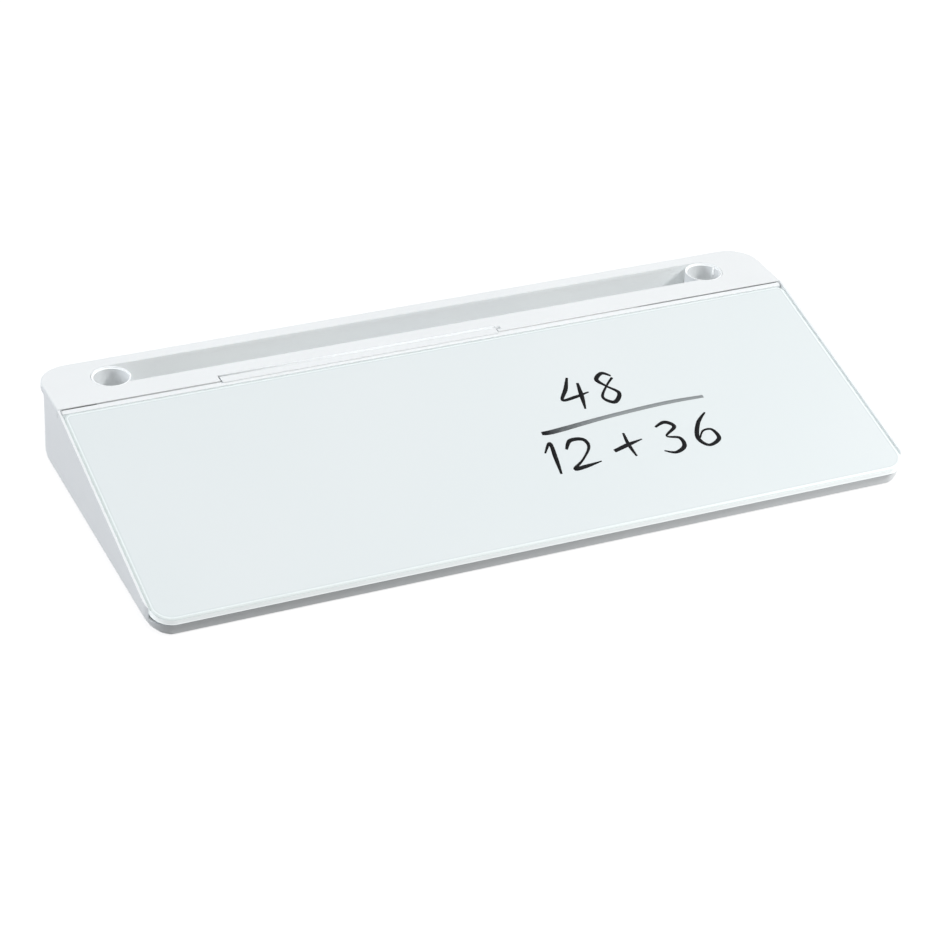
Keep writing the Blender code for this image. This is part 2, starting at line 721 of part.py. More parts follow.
def bottom_cover():
    """The cover that closes the shell from below, with recesses for the feet and two ribs under the trough."""
    outline = body_outline(REBATE_INSET + CLEARANCE, REBATE_FRONT_INSET + CLEARANCE)
    cover = plate("bottom_cover", outline, COVER_BOTTOM, COVER_TOP)
    ribs = []
    for side in (-1, 1):
        y = TROUGH_Y + side * COVER_RIB_SPACING / 2
        low = (COVER_RIB_INSET - WIDTH / 2, y - COVER_RIB_WALL / 2, COVER_TOP - OVERLAP)
        high = (WIDTH / 2 - COVER_RIB_INSET, y + COVER_RIB_WALL / 2, TROUGH_UNDERSIDE - CLEARANCE)
        ribs.append((low, high))
    join(cover, blocks("trough_support_ribs", ribs))
    recess_radius = FOOT_RADIUS + CLEARANCE
    head_radius = COVER_SCREW_HEAD_RADIUS + CLEARANCE
    head_top = COVER_BOTTOM + COVER_SCREW_HEAD_HEIGHT + CLEARANCE
    places = cover_boss_places()
    cut(
        cover,
        upright_cylinders("foot_recesses", recess_radius, 0, COVER_BOTTOM + FOOT_RECESS, FOOT_PLACES.values()),
        upright_cylinders("screw_head_recesses", head_radius, 0, head_top, places),
        upright_cylinders("screw_holes", SCREW_HOLE_RADIUS, COVER_BOTTOM, COVER_TOP + OVERRUN, places),
    )
    finish_with(cover, INNER_PLASTIC)


def feet():
    """Four rubber feet, set in the recesses of the bottom cover."""
    profile = [(0, FOOT_HEIGHT), (FOOT_RADIUS, FOOT_HEIGHT), (FOOT_RADIUS, 0), (0, 0)]
    for name, (x, y) in FOOT_PLACES.items():
        foot = turned(name, profile, SMALL_STEPS)
        foot.location = (x, y, 0)
        finish_with(foot, CLEAR_RUBBER)


def trough_outline(inset):
    """The pen trough's outline seen from above, moved inwards."""
    half_length = TROUGH_LENGTH / 2 + TROUGH_WALL - inset
    half_width = TROUGH_WIDTH / 2 + TROUGH_WALL - inset
    radius = TROUGH_RADIUS + TROUGH_WALL - inset
    return rounded_rectangle(half_length, TROUGH_Y - half_width, TROUGH_Y + half_width, radius, radius)


def slot_trough():
    """The deep trough under the pen slot, hung from the shelf by an ear at each end."""
    trough = plate("slot_trough", trough_outline(0), TROUGH_UNDERSIDE, TROUGH_TOP)
    ears = []
    for left in (-EAR_ROOT - EAR_REACH, EAR_ROOT):
        low = (left, TROUGH_Y - EAR_WIDTH / 2, EAR_TOP - EAR_THICKNESS)
        ears.append((low, (left + EAR_REACH, TROUGH_Y + EAR_WIDTH / 2, EAR_TOP)))
    join(trough, blocks("trough_ears", ears))
    places = on_both_sides(EAR_SCREW_X, TROUGH_Y)
    hole_low = EAR_TOP - EAR_THICKNESS - OVERRUN
    cut(
        trough,
        plate("trough_inside", trough_outline(TROUGH_WALL), TROUGH_FLOOR, TROUGH_TOP + OVERRUN),
        upright_cylinders("ear_holes", SCREW_HOLE_RADIUS, hole_low, EAR_TOP + OVERRUN, places),
    )
    finish_with(trough, INNER_PLASTIC)


def slot_pad():
    """The soft strip on the trough's floor, between the cups."""
    floor = TROUGH_FLOOR + CLEARANCE
    half_length = CUP_SPACING / 2 - CUP_RADIUS - SLOT_PAD_END_GAP
    half_width = TROUGH_WIDTH / 2 - SLOT_PAD_SIDE_GAP
    low = (-half_length, TROUGH_Y - half_width, floor)
    high = (half_length, TROUGH_Y + half_width, floor + PAD_THICKNESS)
    pad = blocks("slot_pad", [(low, high)])
    finish_with(pad, GREY_FOAM)


def cup_profile():
    """Half the section of a pen cup, from the middle of its floor, over its stepped rim and down its outer side."""
    rim = HEIGHT - CUP_EDGE_ROUND
    ledge = HEIGHT - CUP_STEP_DEPTH
    step = CUP_RADIUS - CUP_STEP_WIDTH
    floor = CUP_BOTTOM + CUP_FLOOR
    ledge_middle = (CUP_BORE_RADIUS + CUP_EDGE_ROUND, ledge - CUP_EDGE_ROUND)
    profile = [(0, floor), (CUP_BORE_RADIUS, floor)]
    profile += arc(ledge_middle, CUP_EDGE_ROUND, 180, -QUARTER_TURN, 2)
    profile += [(step, ledge), (step, HEIGHT)]
    profile += arc((CUP_RADIUS - CUP_EDGE_ROUND, rim), CUP_EDGE_ROUND, QUARTER_TURN, -QUARTER_TURN, 2)
    return profile + [(CUP_RADIUS, CUP_BOTTOM), (0, CUP_BOTTOM)]


def pen_cups():
    """Two round cups at the ends of the slot, and the soft pad on each cup's floor."""
    pad_radius = CUP_BORE_RADIUS - CLEARANCE
    pad_floor = CUP_BOTTOM + CUP_FLOOR + CLEARANCE
    pad_top = pad_floor + PAD_THICKNESS
    pad_profile = [(0, pad_top), (pad_radius, pad_top), (pad_radius, pad_floor), (0, pad_floor)]
    cups = {}
    for end, side in (("left", -1), ("right", 1)):
        place = (side * CUP_SPACING / 2, CUP_Y, 0)
        cup = turned("pen_cup_" + end, cup_profile(), CUP_STEPS)
        cup.location = place
        pad = turned("cup_pad_" + end, pad_profile, CUP_STEPS)
        pad.location = place
        finish_with(cup, WHITE_PLASTIC)
        finish_with(pad, GREY_FOAM)
        cups[end] = cup

    across, depth, length = CLIP_RIB
    rib_top = HEIGHT - CUP_STEP_DEPTH - CUP_EDGE_ROUND
    low = (CUP_BORE_RADIUS - depth, -across / 2, rib_top - length)
    high = (CUP_BORE_RADIUS + CUP_WALL / 2, across / 2, rib_top)
    rib = blocks("clip_rib", [(low, high)])
    turn = Matrix.Rotation(CLIP_RIB_ANGLE, 4, "Z")
    rib.matrix_world = Matrix.Translation(cups["right"].location) @ turn
    join(cups["right"], rib)


def lid_pivot():
    """An empty on the hinge axis, tipped so that its Z is square to the glass."""
    pivot = bpy.data.objects.new("lid_pivot", None)
    pivot.location = (0, AXIS_Y, AXIS_Z)
    pivot.rotation_euler = (SLOPE, 0, 0)
    pivot.empty_display_size = KNUCKLE_RADIUS
    PARTS.objects.link(pivot)
    return pivot


def tape_strips():
    """The place of each strip of tape under the glass, as its left, right, front and back."""
    front = LID_FRONT + TAPE_EDGE
    back = GLASS_BACK - TAPE_EDGE
    side = LID_HALF - TAPE_EDGE
    end = LID_HALF - TAPE_CORNER
    side_front = LID_FRONT + TAPE_CORNER
    side_back = GLASS_BACK - TAPE_CORNER
    return {
        "tape_front": (-end, end, front, front + TAPE_WIDTH),
        "tape_back": (-end, end, back - TAPE_WIDTH, back),
        "tape_left": (-side, TAPE_WIDTH - side, side_front, side_back),
        "tape_right": (side - TAPE_WIDTH, side, side_front, side_back),
    }


def tapes():
    """Four strips of double-sided tape between the glass and its frame."""
    low = FRAME_TOP - TAPE_RECESS + CLEARANCE
    for name, (left, right, front, back) in tape_strips().items():
        tape = blocks(name, [((left, front, low), (right, back, low + TAPE_THICKNESS))])
        on_lid(tape)
        finish_with(tape, WHITE_TAPE)


def hinge_tongue():
    """The tongue that reaches back under the shelf's front edge and ends in the hinge knuckle."""
    bottom = AXIS_Z - KNUCKLE_RADIUS
    front = LID_BACK_Y - TONGUE_ROOT
    outline = [(front, HEIGHT), (front, bottom)]
    outline += arc((AXIS_Y, AXIS_Z), KNUCKLE_RADIUS, -QUARTER_TURN, 2 * QUARTER_TURN, 2 * CORNER_STEPS)
    return side_profile("hinge_tongue", outline, TONGUE_LEFT, TONGUE_RIGHT)


def lid_frame():
    """The plate under the glass, with its rear bar, stiffening ribs and the hinge tongue."""
    half = LID_HALF - FRAME_INSET
    front = LID_FRONT + FRAME_FRONT_INSET
    top = LID_TOP - REAR_BAR_DROP
    outline = rounded_rectangle(half, front, LID_BACK, FRAME_FRONT_RADIUS, LID_REAR_RADIUS)
    frame = plate("lid_frame", outline, FRAME_BOTTOM, top)
    seat_low = (-LID_HALF - OVERRUN, LID_FRONT - OVERRUN, FRAME_TOP)
    seat = blocks("glass_seat", [(seat_low, (LID_HALF + OVERRUN, LID_BACK - REAR_BAR, LID_TOP + OVERRUN))])

    recesses = []
    for left, right, tape_front, tape_back in tape_strips().values():
        low = (left - CLEARANCE, tape_front - CLEARANCE, FRAME_TOP - TAPE_RECESS)
        recesses.append((low, (right + CLEARANCE, tape_back + CLEARANCE, FRAME_TOP + OVERLAP)))
    tape_recesses = blocks("tape_recesses", recesses)

    rib_low = FRAME_BOTTOM - LID_RIB_DEPTH
    rib_high = FRAME_BOTTOM + OVERLAP
    rib_front = LID_FRONT + LID_RIB_BORDER
    rib_back = LID_BACK - LID_RIB_BORDER
    rib_half = LID_HALF - LID_RIB_BORDER
    cross_ribs = []
    for share in LID_CROSS_RIB_SHARES:
        x = share * LID_HALF
        low = (x - LID_RIB_WALL / 2, rib_front, rib_low)
        cross_ribs.append((low, (x + LID_RIB_WALL / 2, rib_back, rib_high)))
    long_ribs = []
    for share in LID_LONG_RIB_SHARES:
        y = rib_front + share * (rib_back - rib_front)
        low = (-rib_half, y - LID_RIB_WALL / 2, rib_low)
        long_ribs.append((low, (rib_half, y + LID_RIB_WALL / 2, rib_high)))
    cross = blocks("cross_ribs", cross_ribs)
    along = blocks("long_ribs", long_ribs)
    on_lid(frame, seat, tape_recesses, cross, along)

    reach = WIDTH / 2 + OVERRUN
    back_low = (-reach, LID_BACK_Y, HEIGHT - SHELF_DEPTH)
    behind_lid = blocks("behind_lid", [(back_low, (reach, BACK, HEIGHT + OVERRUN))])
    cut(frame, seat, tape_recesses, behind_lid)
    join(frame, cross, along, hinge_tongue())
    bore_span = (TONGUE_LEFT - OVERRUN, TONGUE_RIGHT + OVERRUN)
    cut(frame, level_cylinders("knuckle_bore", BORE_RADIUS, [bore_span]))
    finish_with(frame, WHITE_PLASTIC)


def glass_panel():
    """The writing surface: glass with a bevelled upper edge and round front corners."""

    def outline(inset):
        return rounded_rectangle(
            LID_HALF - inset,
            LID_FRONT + inset,
            GLASS_BACK - inset,
            LID_FRONT_RADIUS - inset,
            GLASS_REAR_RADIUS - inset,
        )

    bevel_foot = LID_TOP - GLASS_BEVEL_DEPTH
    rings = [(outline(0), GLASS_BOTTOM), (outline(0), bevel_foot), (outline(GLASS_BEVEL_WIDTH), LID_TOP)]
    glass = loft("glass_panel", rings)
    on_lid(glass)
    finish_with(glass, WHITE_GLASS)


def hinge_rod():
    """The steel rod that the lid turns on."""
    rod = level_cylinders("hinge_rod", ROD_RADIUS, [(ROD_LEFT, ROD_RIGHT)])
    finish_with(rod, STEEL, metallic=1.0)


def hinge_rail():
    """The rail under the shelf's front edge, whose two saddles hold the rod up in its channels."""
    low = (RAIL_LEFT, RAIL_FRONT, RAIL_BOTTOM)
    rail = blocks("hinge_rail", [(low, (RAIL_RIGHT, RAIL_BACK, RAIL_TOP))])
    saddles = []
    for left in (ROD_LEFT + ROD_END_GAP, ROD_RIGHT - SADDLE_LENGTH):
        saddle_low = (left, AXIS_Y - SADDLE_WIDTH / 2, RAIL_TOP - OVERLAP)
        saddle_high = (left + SADDLE_LENGTH, AXIS_Y + SADDLE_WIDTH / 2, TROUGH_TOP)
        saddles.append((saddle_low, saddle_high))
    join(rail, blocks("saddles", saddles))
    groove_span = (ROD_LEFT - OVERRUN, ROD_RIGHT + OVERRUN)
    hole_low = RAIL_BOTTOM - OVERRUN
    hole_high = RAIL_TOP + OVERRUN
    cut(
        rail,
        level_cylinders("saddle_grooves", BORE_RADIUS, [groove_span]),
        upright_cylinders("rail_holes", SCREW_HOLE_RADIUS, hole_low, hole_high, RAIL_BOSS_PLACES),
    )
    finish_with(rail, INNER_PLASTIC)


def screw(name, place, seat, length, head_radius, head_height):
    """A screw driven upwards, with its head under a level seat."""
    profile = [
        (0, length),
        (SCREW_RADIUS, length),
        (SCREW_RADIUS, 0),
        (head_radius, 0),
        (head_radius, SCREW_HEAD_ROUND - head_height),
        (head_radius - SCREW_HEAD_ROUND, -head_height),
        (0, -head_height),
    ]
    item = turned(name, profile, SMALL_STEPS)
    item.location = (place[0], place[1], seat)
    finish_with(item, STEEL, metallic=1.0)


def screws():
    """The screws of the hinge rail, the trough and the bottom cover."""
    size = (SCREW_LENGTH, SCREW_HEAD_RADIUS, SCREW_HEAD_HEIGHT)
    rail_seat = RAIL_BOTTOM - CLEARANCE
    for name, place in zip(("left", "middle", "right"), RAIL_BOSS_PLACES):
        screw("hinge_rail_screw_" + name, place, rail_seat, *size)
    ear_seat = EAR_TOP - EAR_THICKNESS - CLEARANCE
    for name, place in zip(("left", "right"), on_both_sides(EAR_SCREW_X, TROUGH_Y)):
        screw("trough_screw_" + name, place, ear_seat, *size)
    cover_size = (COVER_SCREW_LENGTH, COVER_SCREW_HEAD_RADIUS, COVER_SCREW_HEAD_HEIGHT)
    cover_seat = COVER_BOTTOM + COVER_SCREW_HEAD_HEIGHT
    for number, place in enumerate(cover_boss_places(), start=1):
        screw("cover_screw_" + str(number), place, cover_seat, *cover_size)


def lid_bumpers():
    """Two soft discs that the lid's front corners come down on."""
    radius = BUMPER_RADIUS
    profile = [(0, BUMPER_THICKNESS), (radius, BUMPER_THICKNESS), (radius, 0), (0, 0)]
    for name, side in (("lid_bumper_left", -1), ("lid_bumper_right", 1)):
        bumper = turned(name, profile, SMALL_STEPS)
        bumper.matrix_world = bumper_place(side)
        finish_with(bumper, CLEAR_RUBBER)


PARTS, CUTTERS = clear_scene()
LID_PIVOT = lid_pivot()
body_shell()
bottom_cover()
feet()
slot_trough()
slot_pad()
pen_cups()
lid_frame()
glass_panel()
tapes()
hinge_rod()
hinge_rail()
screws()
lid_bumpers()
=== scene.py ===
"""Finishes, edges and light for the desktop glass whiteboard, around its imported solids.

Metres, +Z up. X runs along the width, -Y is the low front edge.
"""

import math

import bmesh
import bpy
from mathutils import Matrix, Vector


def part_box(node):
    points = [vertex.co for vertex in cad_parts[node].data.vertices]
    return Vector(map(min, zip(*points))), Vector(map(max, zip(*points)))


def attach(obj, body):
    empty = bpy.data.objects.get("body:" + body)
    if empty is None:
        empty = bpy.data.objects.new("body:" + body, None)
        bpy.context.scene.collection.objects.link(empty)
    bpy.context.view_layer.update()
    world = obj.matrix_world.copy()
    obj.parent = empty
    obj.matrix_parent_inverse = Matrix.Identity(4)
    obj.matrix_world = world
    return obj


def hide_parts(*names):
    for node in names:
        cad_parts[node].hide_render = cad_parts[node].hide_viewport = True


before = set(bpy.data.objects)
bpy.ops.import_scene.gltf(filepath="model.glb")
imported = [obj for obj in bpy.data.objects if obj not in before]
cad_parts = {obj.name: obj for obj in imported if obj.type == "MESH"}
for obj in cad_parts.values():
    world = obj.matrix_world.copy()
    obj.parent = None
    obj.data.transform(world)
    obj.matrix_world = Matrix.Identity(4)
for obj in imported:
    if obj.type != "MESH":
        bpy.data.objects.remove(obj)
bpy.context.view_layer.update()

MM = 0.001
PICTURE_SIDE = 940

# Camera, from the perspective of the photographed edges
CAMERA_PLACE = Vector((-0.605934, -1.254986, 0.861093))
CAMERA_YAW = math.radians(-25.705)
CAMERA_PITCH = math.radians(-31.811)
CAMERA_ROLL = math.radians(3.023)
CAMERA_FOCAL_PIXELS = 2898.302
SENSOR_WIDTH = 36.0
CLIP_START = 0.05

# Each lamp: its place, the point it looks at, its width, height and power in watts, and its colour
LAMPS = {
    "key_softbox": ((2.2, -1.05, 2.4), (0, 0, 0), 0.7, 0.7, 75.0, "FFFFFF"),
    "high_softbox": ((-0.6, -0.8, 2.8), (0, 0, 0), 1.4, 1.4, 19.5, "FFFFFF"),
    "left_reflector": ((-1.9, 0.5, 0.8), (-0.2, 0, 0), 1.2, 0.9, 20.0, "F4F8FF"),
    "front_fill": ((0.55, -0.55, 0.07), (0.2, -0.09, 0.01), 0.3, 0.1, 1.15, "FFFFFF"),
}
# Strength of the even light from all round, of the background that the camera sees, and of the table's white
WORLD_LIGHT = 0.23
BACKGROUND_LIGHT = 1.0
TABLE_GLOW = 0.88
TABLE_REACH = 6.0

# Finishes. Noise hardly leaves the range from its low to its high value
NOISE_LOW = 0.3
NOISE_HIGH = 0.7
ABS_IOR = 1.49
GLASS_IOR = 1.52
PATCH_SIZE = 60 * MM
SHEEN_SIZE = 9 * MM
SHEEN_SPREAD = 0.03
# The real grain of the mould is under 0.1 mm; it is drawn four times coarser so that it shows close up
MOULD_GRAIN = 0.35 * MM
SATIN_WHITE = "EEF1F2"
BRIGHT_ROUGHNESS = 0.42
# Colours, roughness, grain and depth of the grain of the brighter, smoother mouldings. Their white is
# painted lighter than the satin white, as painted light in the slot and on the cup rims and rib
PAINTED_BRIGHT_ABS = ("FBFEFE", "F9FCFD", BRIGHT_ROUGHNESS, MOULD_GRAIN, 0.003 * MM)

# Edges of moulded and ground pieces
MERGE_DISTANCE = 0.002 * MM
FLAT_ANGLE = math.radians(1)
EDGE_ANGLE = math.radians(28)
SHELL_EDGE = 0.25 * MM
FRAME_EDGE = 0.12 * MM
TROUGH_EDGE = 0.3 * MM
COVER_EDGE = 0.25 * MM
RAIL_EDGE = 0.2 * MM
EDGE_STEPS = 2
# The trough meets the underside of the shelf's plate here, and the two walls run into each other
SHELF_UNDERSIDE = 47.6 * MM
TROUGH_GAP = 0.35 * MM
JOINT_REACH = 0.04 * MM

# Glass
GLASS_FRONT_RADIUS = 12 * MM
GLASS_REAR_RADIUS = 4.5 * MM
BEVEL_WIDTH = 1.2 * MM
BEVEL_DEPTH = 0.8 * MM
ARRIS = 0.12 * MM
LOWER_ARRIS = 0.45 * MM
UPPER_ARRIS = 0.7 * MM
INNER_LINE_END = 2.8 * MM
CORNER_STEPS = 24
EDGE_FINISH, BEVEL_FINISH, LINE_FINISH, FACE_FINISH, LOWER_FINISH, UPPER_FINISH = range(6)
# Painted glow on the glass's edge, bevel and arrises, standing for light that the clear glass gathers and
# lets out again at its ground edges
BEVEL_PAINTED_GLOW = 0.09
EDGE_PAINTED_GLOW = 0.50
LOWER_ARRIS_PAINTED_GLOW = 0.85
UPPER_ARRIS_PAINTED_GLOW = 0.08

# Pen slot, its walls in the shelf's plate, and a painted glow that stands for the light its white walls
# scatter back and forth
SLOT_WALL_FRONT = 72 * MM
SLOT_WALL_BACK = 93.5 * MM
SLOT_WALL_TOP = 49.9 * MM
WALL_TILT = 0.7
SLOT_PAINTED_GLOW = 0.05
SLOT_FINISH = 1

# The shelf's thin lip along the lid, given a faint painted glow away from its ends
LIP_FRONT = 55 * MM
LIP_BACK = 71 * MM
LIP_BOTTOM = 44 * MM
LIP_PAINTED_GLOW = 0.3
LIP_LIT_HALF = 60 * MM
LIP_DARK_HALF = 200 * MM
LIP_FINISH = 2

# Turned pieces end in a tiny flat in their middle, this share of their radius
CORE_SHARE = 0.02
ROUND_STEPS = 4

# Pen cups
CUP_STEPS = 96
CUP_RIM_ROUND = 0.25 * MM
CUP_STEP_WIDTH = 0.6 * MM
CUP_STEP_DEPTH = 0.8 * MM
CUP_FOOT_ROUND = 1.2 * MM
# Where the round at the foot of the bore begins and where its middle lies, as shares of its size
FOOT_ROUND_FAR = 0.3
FOOT_ROUND_NEAR = 0.1
CUP_FLOOR = 1.5 * MM
CUP_BORE_RADIUS = 9.75 * MM
RIB_ANGLE = math.radians(22)
RIB_SIZE = (0.8 * MM, 0.8 * MM, 4.4 * MM)
RIB_SUNK = 0.4 * MM
RIB_EDGE = 0.2 * MM
RIB_EDGE_STEPS = 2
RIB_DROP = 1.1 * MM
# Painted glow that keeps the rib nearly white in the cup's shade
RIB_PAINTED_GLOW = 0.3
BORE_MARGIN = 0.1 * MM
RIM_FINISH = 1
RIB_FINISH = 2

# Feet and bumpers
FOOT_EDGE = 0.4 * MM
FOOT_GROOVE = (3.4 * MM, 4.4 * MM, 0.25 * MM)
TURNED_STEPS = 64

# Screws
SCREW_LENGTH = 5.6 * MM
COVER_SCREW_LENGTH = 4.5 * MM
COVER_SCREWS = 6
HEAD_RADIUS = 2 * MM
HEAD_HEIGHT = 1.2 * MM
HEAD_STEPS = 40
CROWN_SHARE = 0.86
SHANK_STEPS = 24
SHANK_RADIUS = 1.0 * MM
CROSS_WIDTH = 0.45 * MM
CROSS_DEPTH = 0.55 * MM
CROSS_LENGTH_SHARE = 1.15

# Marker writing
STROKE_WIDTH = 2.7 * MM
STROKE_HEIGHT = 0.03 * MM
STROKE_LIFT = 0.02 * MM
STROKE_STEPS = 8
SLANT = 0.10

# The strokes of each sign: shares of its width and height, and how hard the pen presses there
SIGN_STROKES = {
    "1": (((0.10, 0.72, 0.4), (0.62, 1.0, 0.8), (0.58, 0.5, 0.95), (0.50, 0.0, 0.5)),),
    "2": ((
        (0.06, 0.72, 0.6), (0.30, 0.98, 1.0), (0.72, 0.94, 0.95), (0.80, 0.66, 0.7), (0.44, 0.30, 0.5),
        (0.06, 0.05, 0.9), (0.42, 0.06, 1.0), (1.0, 0.13, 0.3),
    ),),
    "3": ((
        (0.10, 0.90, 0.5), (0.52, 1.0, 0.95), (0.80, 0.80, 0.9), (0.36, 0.56, 0.5), (0.80, 0.42, 0.8),
        (0.82, 0.14, 1.0), (0.42, 0.0, 0.8), (0.02, 0.12, 0.35),
    ),),
    "4": (
        ((0.52, 1.0, 0.5), (0.30, 0.66, 0.95), (0.02, 0.34, 0.7), (0.50, 0.36, 0.85), (1.04, 0.44, 0.35)),
        ((0.80, 0.78, 0.6), (0.74, 0.36, 1.0), (0.66, -0.06, 0.4)),
    ),
    "6": ((
        (0.80, 1.0, 0.4), (0.36, 0.72, 0.9), (0.08, 0.28, 1.0), (0.36, 0.0, 0.8), (0.84, 0.14, 0.95),
        (0.74, 0.44, 0.7), (0.40, 0.46, 0.5), (0.16, 0.26, 0.35),
    ),),
    "8": ((
        (0.86, 0.86, 0.5), (0.52, 1.0, 0.9), (0.18, 0.82, 1.0), (0.48, 0.55, 0.6), (0.86, 0.26, 0.9),
        (0.50, 0.0, 1.0), (0.10, 0.22, 0.7), (0.46, 0.55, 0.5), (0.88, 0.80, 0.6),
    ),),
    "plus": (
        ((0.0, 0.36, 0.9), (0.48, 0.50, 1.0), (1.0, 0.62, 0.3)),
        ((0.52, 1.0, 0.5), (0.52, 0.5, 0.85), (0.60, 0.0, 0.45)),
    ),
    "bar": (((0.0, 0.0, 1.0), (0.08, -0.04, 1.3), (0.40, 0.60, 1.05), (0.75, 1.0, 1.0), (1.0, 0.90, 0.8)),),
}
# How much of its ink a stroke loses where the tip runs dry, and over which shares of its length
DRYING_SHARES = {"bar": 0.6}
DRYING_START = 0.12
DRYING_LENGTH = 0.4

# Each sign, its lower left corner, and its width and height, in millimetres from the middle of the glass
WRITING = (
    ("4", (50.0, 12.0), (17.0, 25.0)),
    ("8", (73.0, 11.5), (14.0, 24.0)),
    ("bar", (28.4, -1.6), (103.5, 5.0)),
    ("1", (21.0, -34.0), (10.0, 24.0)),
    ("2", (34.0, -33.5), (18.0, 23.0)),
    ("plus", (62.0, -32.0), (19.0, 19.0)),
    ("3", (90.0, -35.0), (16.0, 24.0)),
    ("6", (112.0, -34.5), (16.0, 25.0)),
)


def linear(hex_colour):
    """An sRGB hex colour as linear red, green, blue and alpha."""
    channels = []
    for start in (0, 2, 4):
        value = int(hex_colour[start:start + 2], 16) / 255
        low = value / 12.92
        high = ((value + 0.055) / 1.055) ** 2.4
        channels.append(low if value <= 0.04045 else high)
    return (*channels, 1.0)


def add(tree, kind, settings=None, inputs=None):
    """Adds a node, sets its settings, and gives each named input a value or a link."""
    node = tree.nodes.new(kind)
    for name, value in (settings or {}).items():
        setattr(node, name, value)
    for name, value in (inputs or {}).items():
        socket = node.inputs[name]
        if isinstance(value, bpy.types.NodeSocket):
            tree.links.new(value, socket)
        else:
            socket.default_value = value
    return node


def new_material(name):
    """An empty material and its node tree."""
    material = bpy.data.materials.new(name)
    material.use_nodes = True
    material.node_tree.nodes.clear()
    return material, material.node_tree


def ramp(tree, factor, stops):
    """A colour ramp between linear colours."""
    node = add(tree, "ShaderNodeValToRGB", None, {"Fac": factor})
    points = node.color_ramp.elements
    while len(points) < len(stops):
        points.new(1.0)
    for point, (place, colour) in zip(points, stops):
        point.position = place
        point.color = colour
    return node.outputs["Color"]


def spread(tree, value, given, wanted):
    """A value mapped from a given range to a wanted one."""
    inputs = {
        "Value": value,
        "From Min": given[0],
        "From Max": given[1],
        "To Min": wanted[0],
        "To Max": wanted[1],
    }
    return add(tree, "ShaderNodeMapRange", None, inputs).outputs["Result"]


def calculated(tree, operation, first, second=0.0):
    """The result of a sum, a product or another operation on one or two values."""
    return add(tree, "ShaderNodeMath", {"operation": operation}, {0: first, 1: second}).outputs[0]


def mottled(tree, size, low, high, detail=3.0, stretch=None):
    """A soft random value between low and high, whose patches are about the given size."""
    coords = add(tree, "ShaderNodeTexCoord").outputs["Object"]
    if stretch:
        mapping = add(tree, "ShaderNodeMapping", None, {"Vector": coords, "Scale": stretch})
        coords = mapping.outputs["Vector"]
    noise = add(tree, "ShaderNodeTexNoise", None, {"Vector": coords, "Scale": 1 / size, "Detail": detail})
    return spread(tree, noise.outputs["Fac"], (NOISE_LOW, NOISE_HIGH), (low, high))


def two_tone(tree, factor, first, second):
    """A blend of two sRGB colours."""
    return ramp(tree, factor, [(0.0, linear(first)), (1.0, linear(second))])


def relief(tree, height, depth):
    """A bump from a height between 0 and 1 and its depth."""
    bump = add(tree, "ShaderNodeBump", None, {"Height": height, "Distance": depth, "Strength": 1.0})
    return bump.outputs["Normal"]


def surface(tree, inputs):
    """The shader and the output of a material."""
    shader = add(tree, "ShaderNodeBsdfPrincipled", None, inputs)
    add(tree, "ShaderNodeOutputMaterial", None, {"Surface": shader.outputs["BSDF"]})


def moulded_plastic(name, light, dark, roughness, grain, depth, glow=0.0):
    """Moulded plastic: a colour that hardly varies, over the fine grain of a spark-eroded mould, and an
    optional painted glow in that colour.
    """
    material, tree = new_material(name)
    patches = mottled(tree, PATCH_SIZE, 0.0, 1.0)
    sheen = mottled(tree, SHEEN_SIZE, roughness - SHEEN_SPREAD, roughness + SHEEN_SPREAD)
    texture = mottled(tree, grain, 0.0, 1.0, detail=2.0)
    surface(
        tree,
        {
            "Base Color": two_tone(tree, patches, light, dark),
            "Roughness": sheen,
            "IOR": ABS_IOR,
            "Emission Color": linear(light),
            "Emission Strength": glow,
            "Normal": relief(tree, texture, depth),
        },
    )
    return material


def satin_white_abs():
    """White ABS from a lightly grained mould: clean, cool white with a soft, broad highlight."""
    return moulded_plastic("satin_white_abs", SATIN_WHITE, "EBEEEF", 0.36, MOULD_GRAIN, 0.004 * MM)


def painted_light_white_abs():
    """White ABS of the pen trough and the slot's walls: smoother, painted a lighter white and given a
    painted glow, which stand for the light it scatters.
    """
    return moulded_plastic("painted_light_white_abs", *PAINTED_BRIGHT_ABS, SLOT_PAINTED_GLOW)


def rib_abs_painted_glow():
    """ABS of the small rib in the right cup, thin enough to let light through: that light is painted as a
    lighter white and a glow, so that it looks nearly white.
    """
    return moulded_plastic("rib_abs_painted_glow", *PAINTED_BRIGHT_ABS, RIB_PAINTED_GLOW)


def lip_abs_painted_glow():
    """The shelf's lip along the lid: white ABS with a painted glow, standing for light let through the thin
    plastic, which fades towards its ends.
    """
    material, tree = new_material("lip_abs_painted_glow")
    coords = add(tree, "ShaderNodeTexCoord").outputs["Object"]
    along = add(tree, "ShaderNodeSeparateXYZ", None, {"Vector": coords}).outputs["X"]
    from_middle = calculated(tree, "ABSOLUTE", along)
    surface(
        tree,
        {
            "Base Color": linear(SATIN_WHITE),
            "Roughness": BRIGHT_ROUGHNESS,
            "IOR": ABS_IOR,
            "Emission Color": linear(SATIN_WHITE),
            "Emission Strength": spread(tree, from_middle, (LIP_LIT_HALF, LIP_DARK_HALF), (LIP_PAINTED_GLOW, 0.0)),
        },
    )
    return material


def plain_white_abs():
    """ABS of the hidden mouldings: a shade duller and rougher, from an unpolished mould."""
    return moulded_plastic("plain_white_abs", "DEDFDE", "D9DAD9", 0.52, 0.5 * MM, 0.008 * MM)


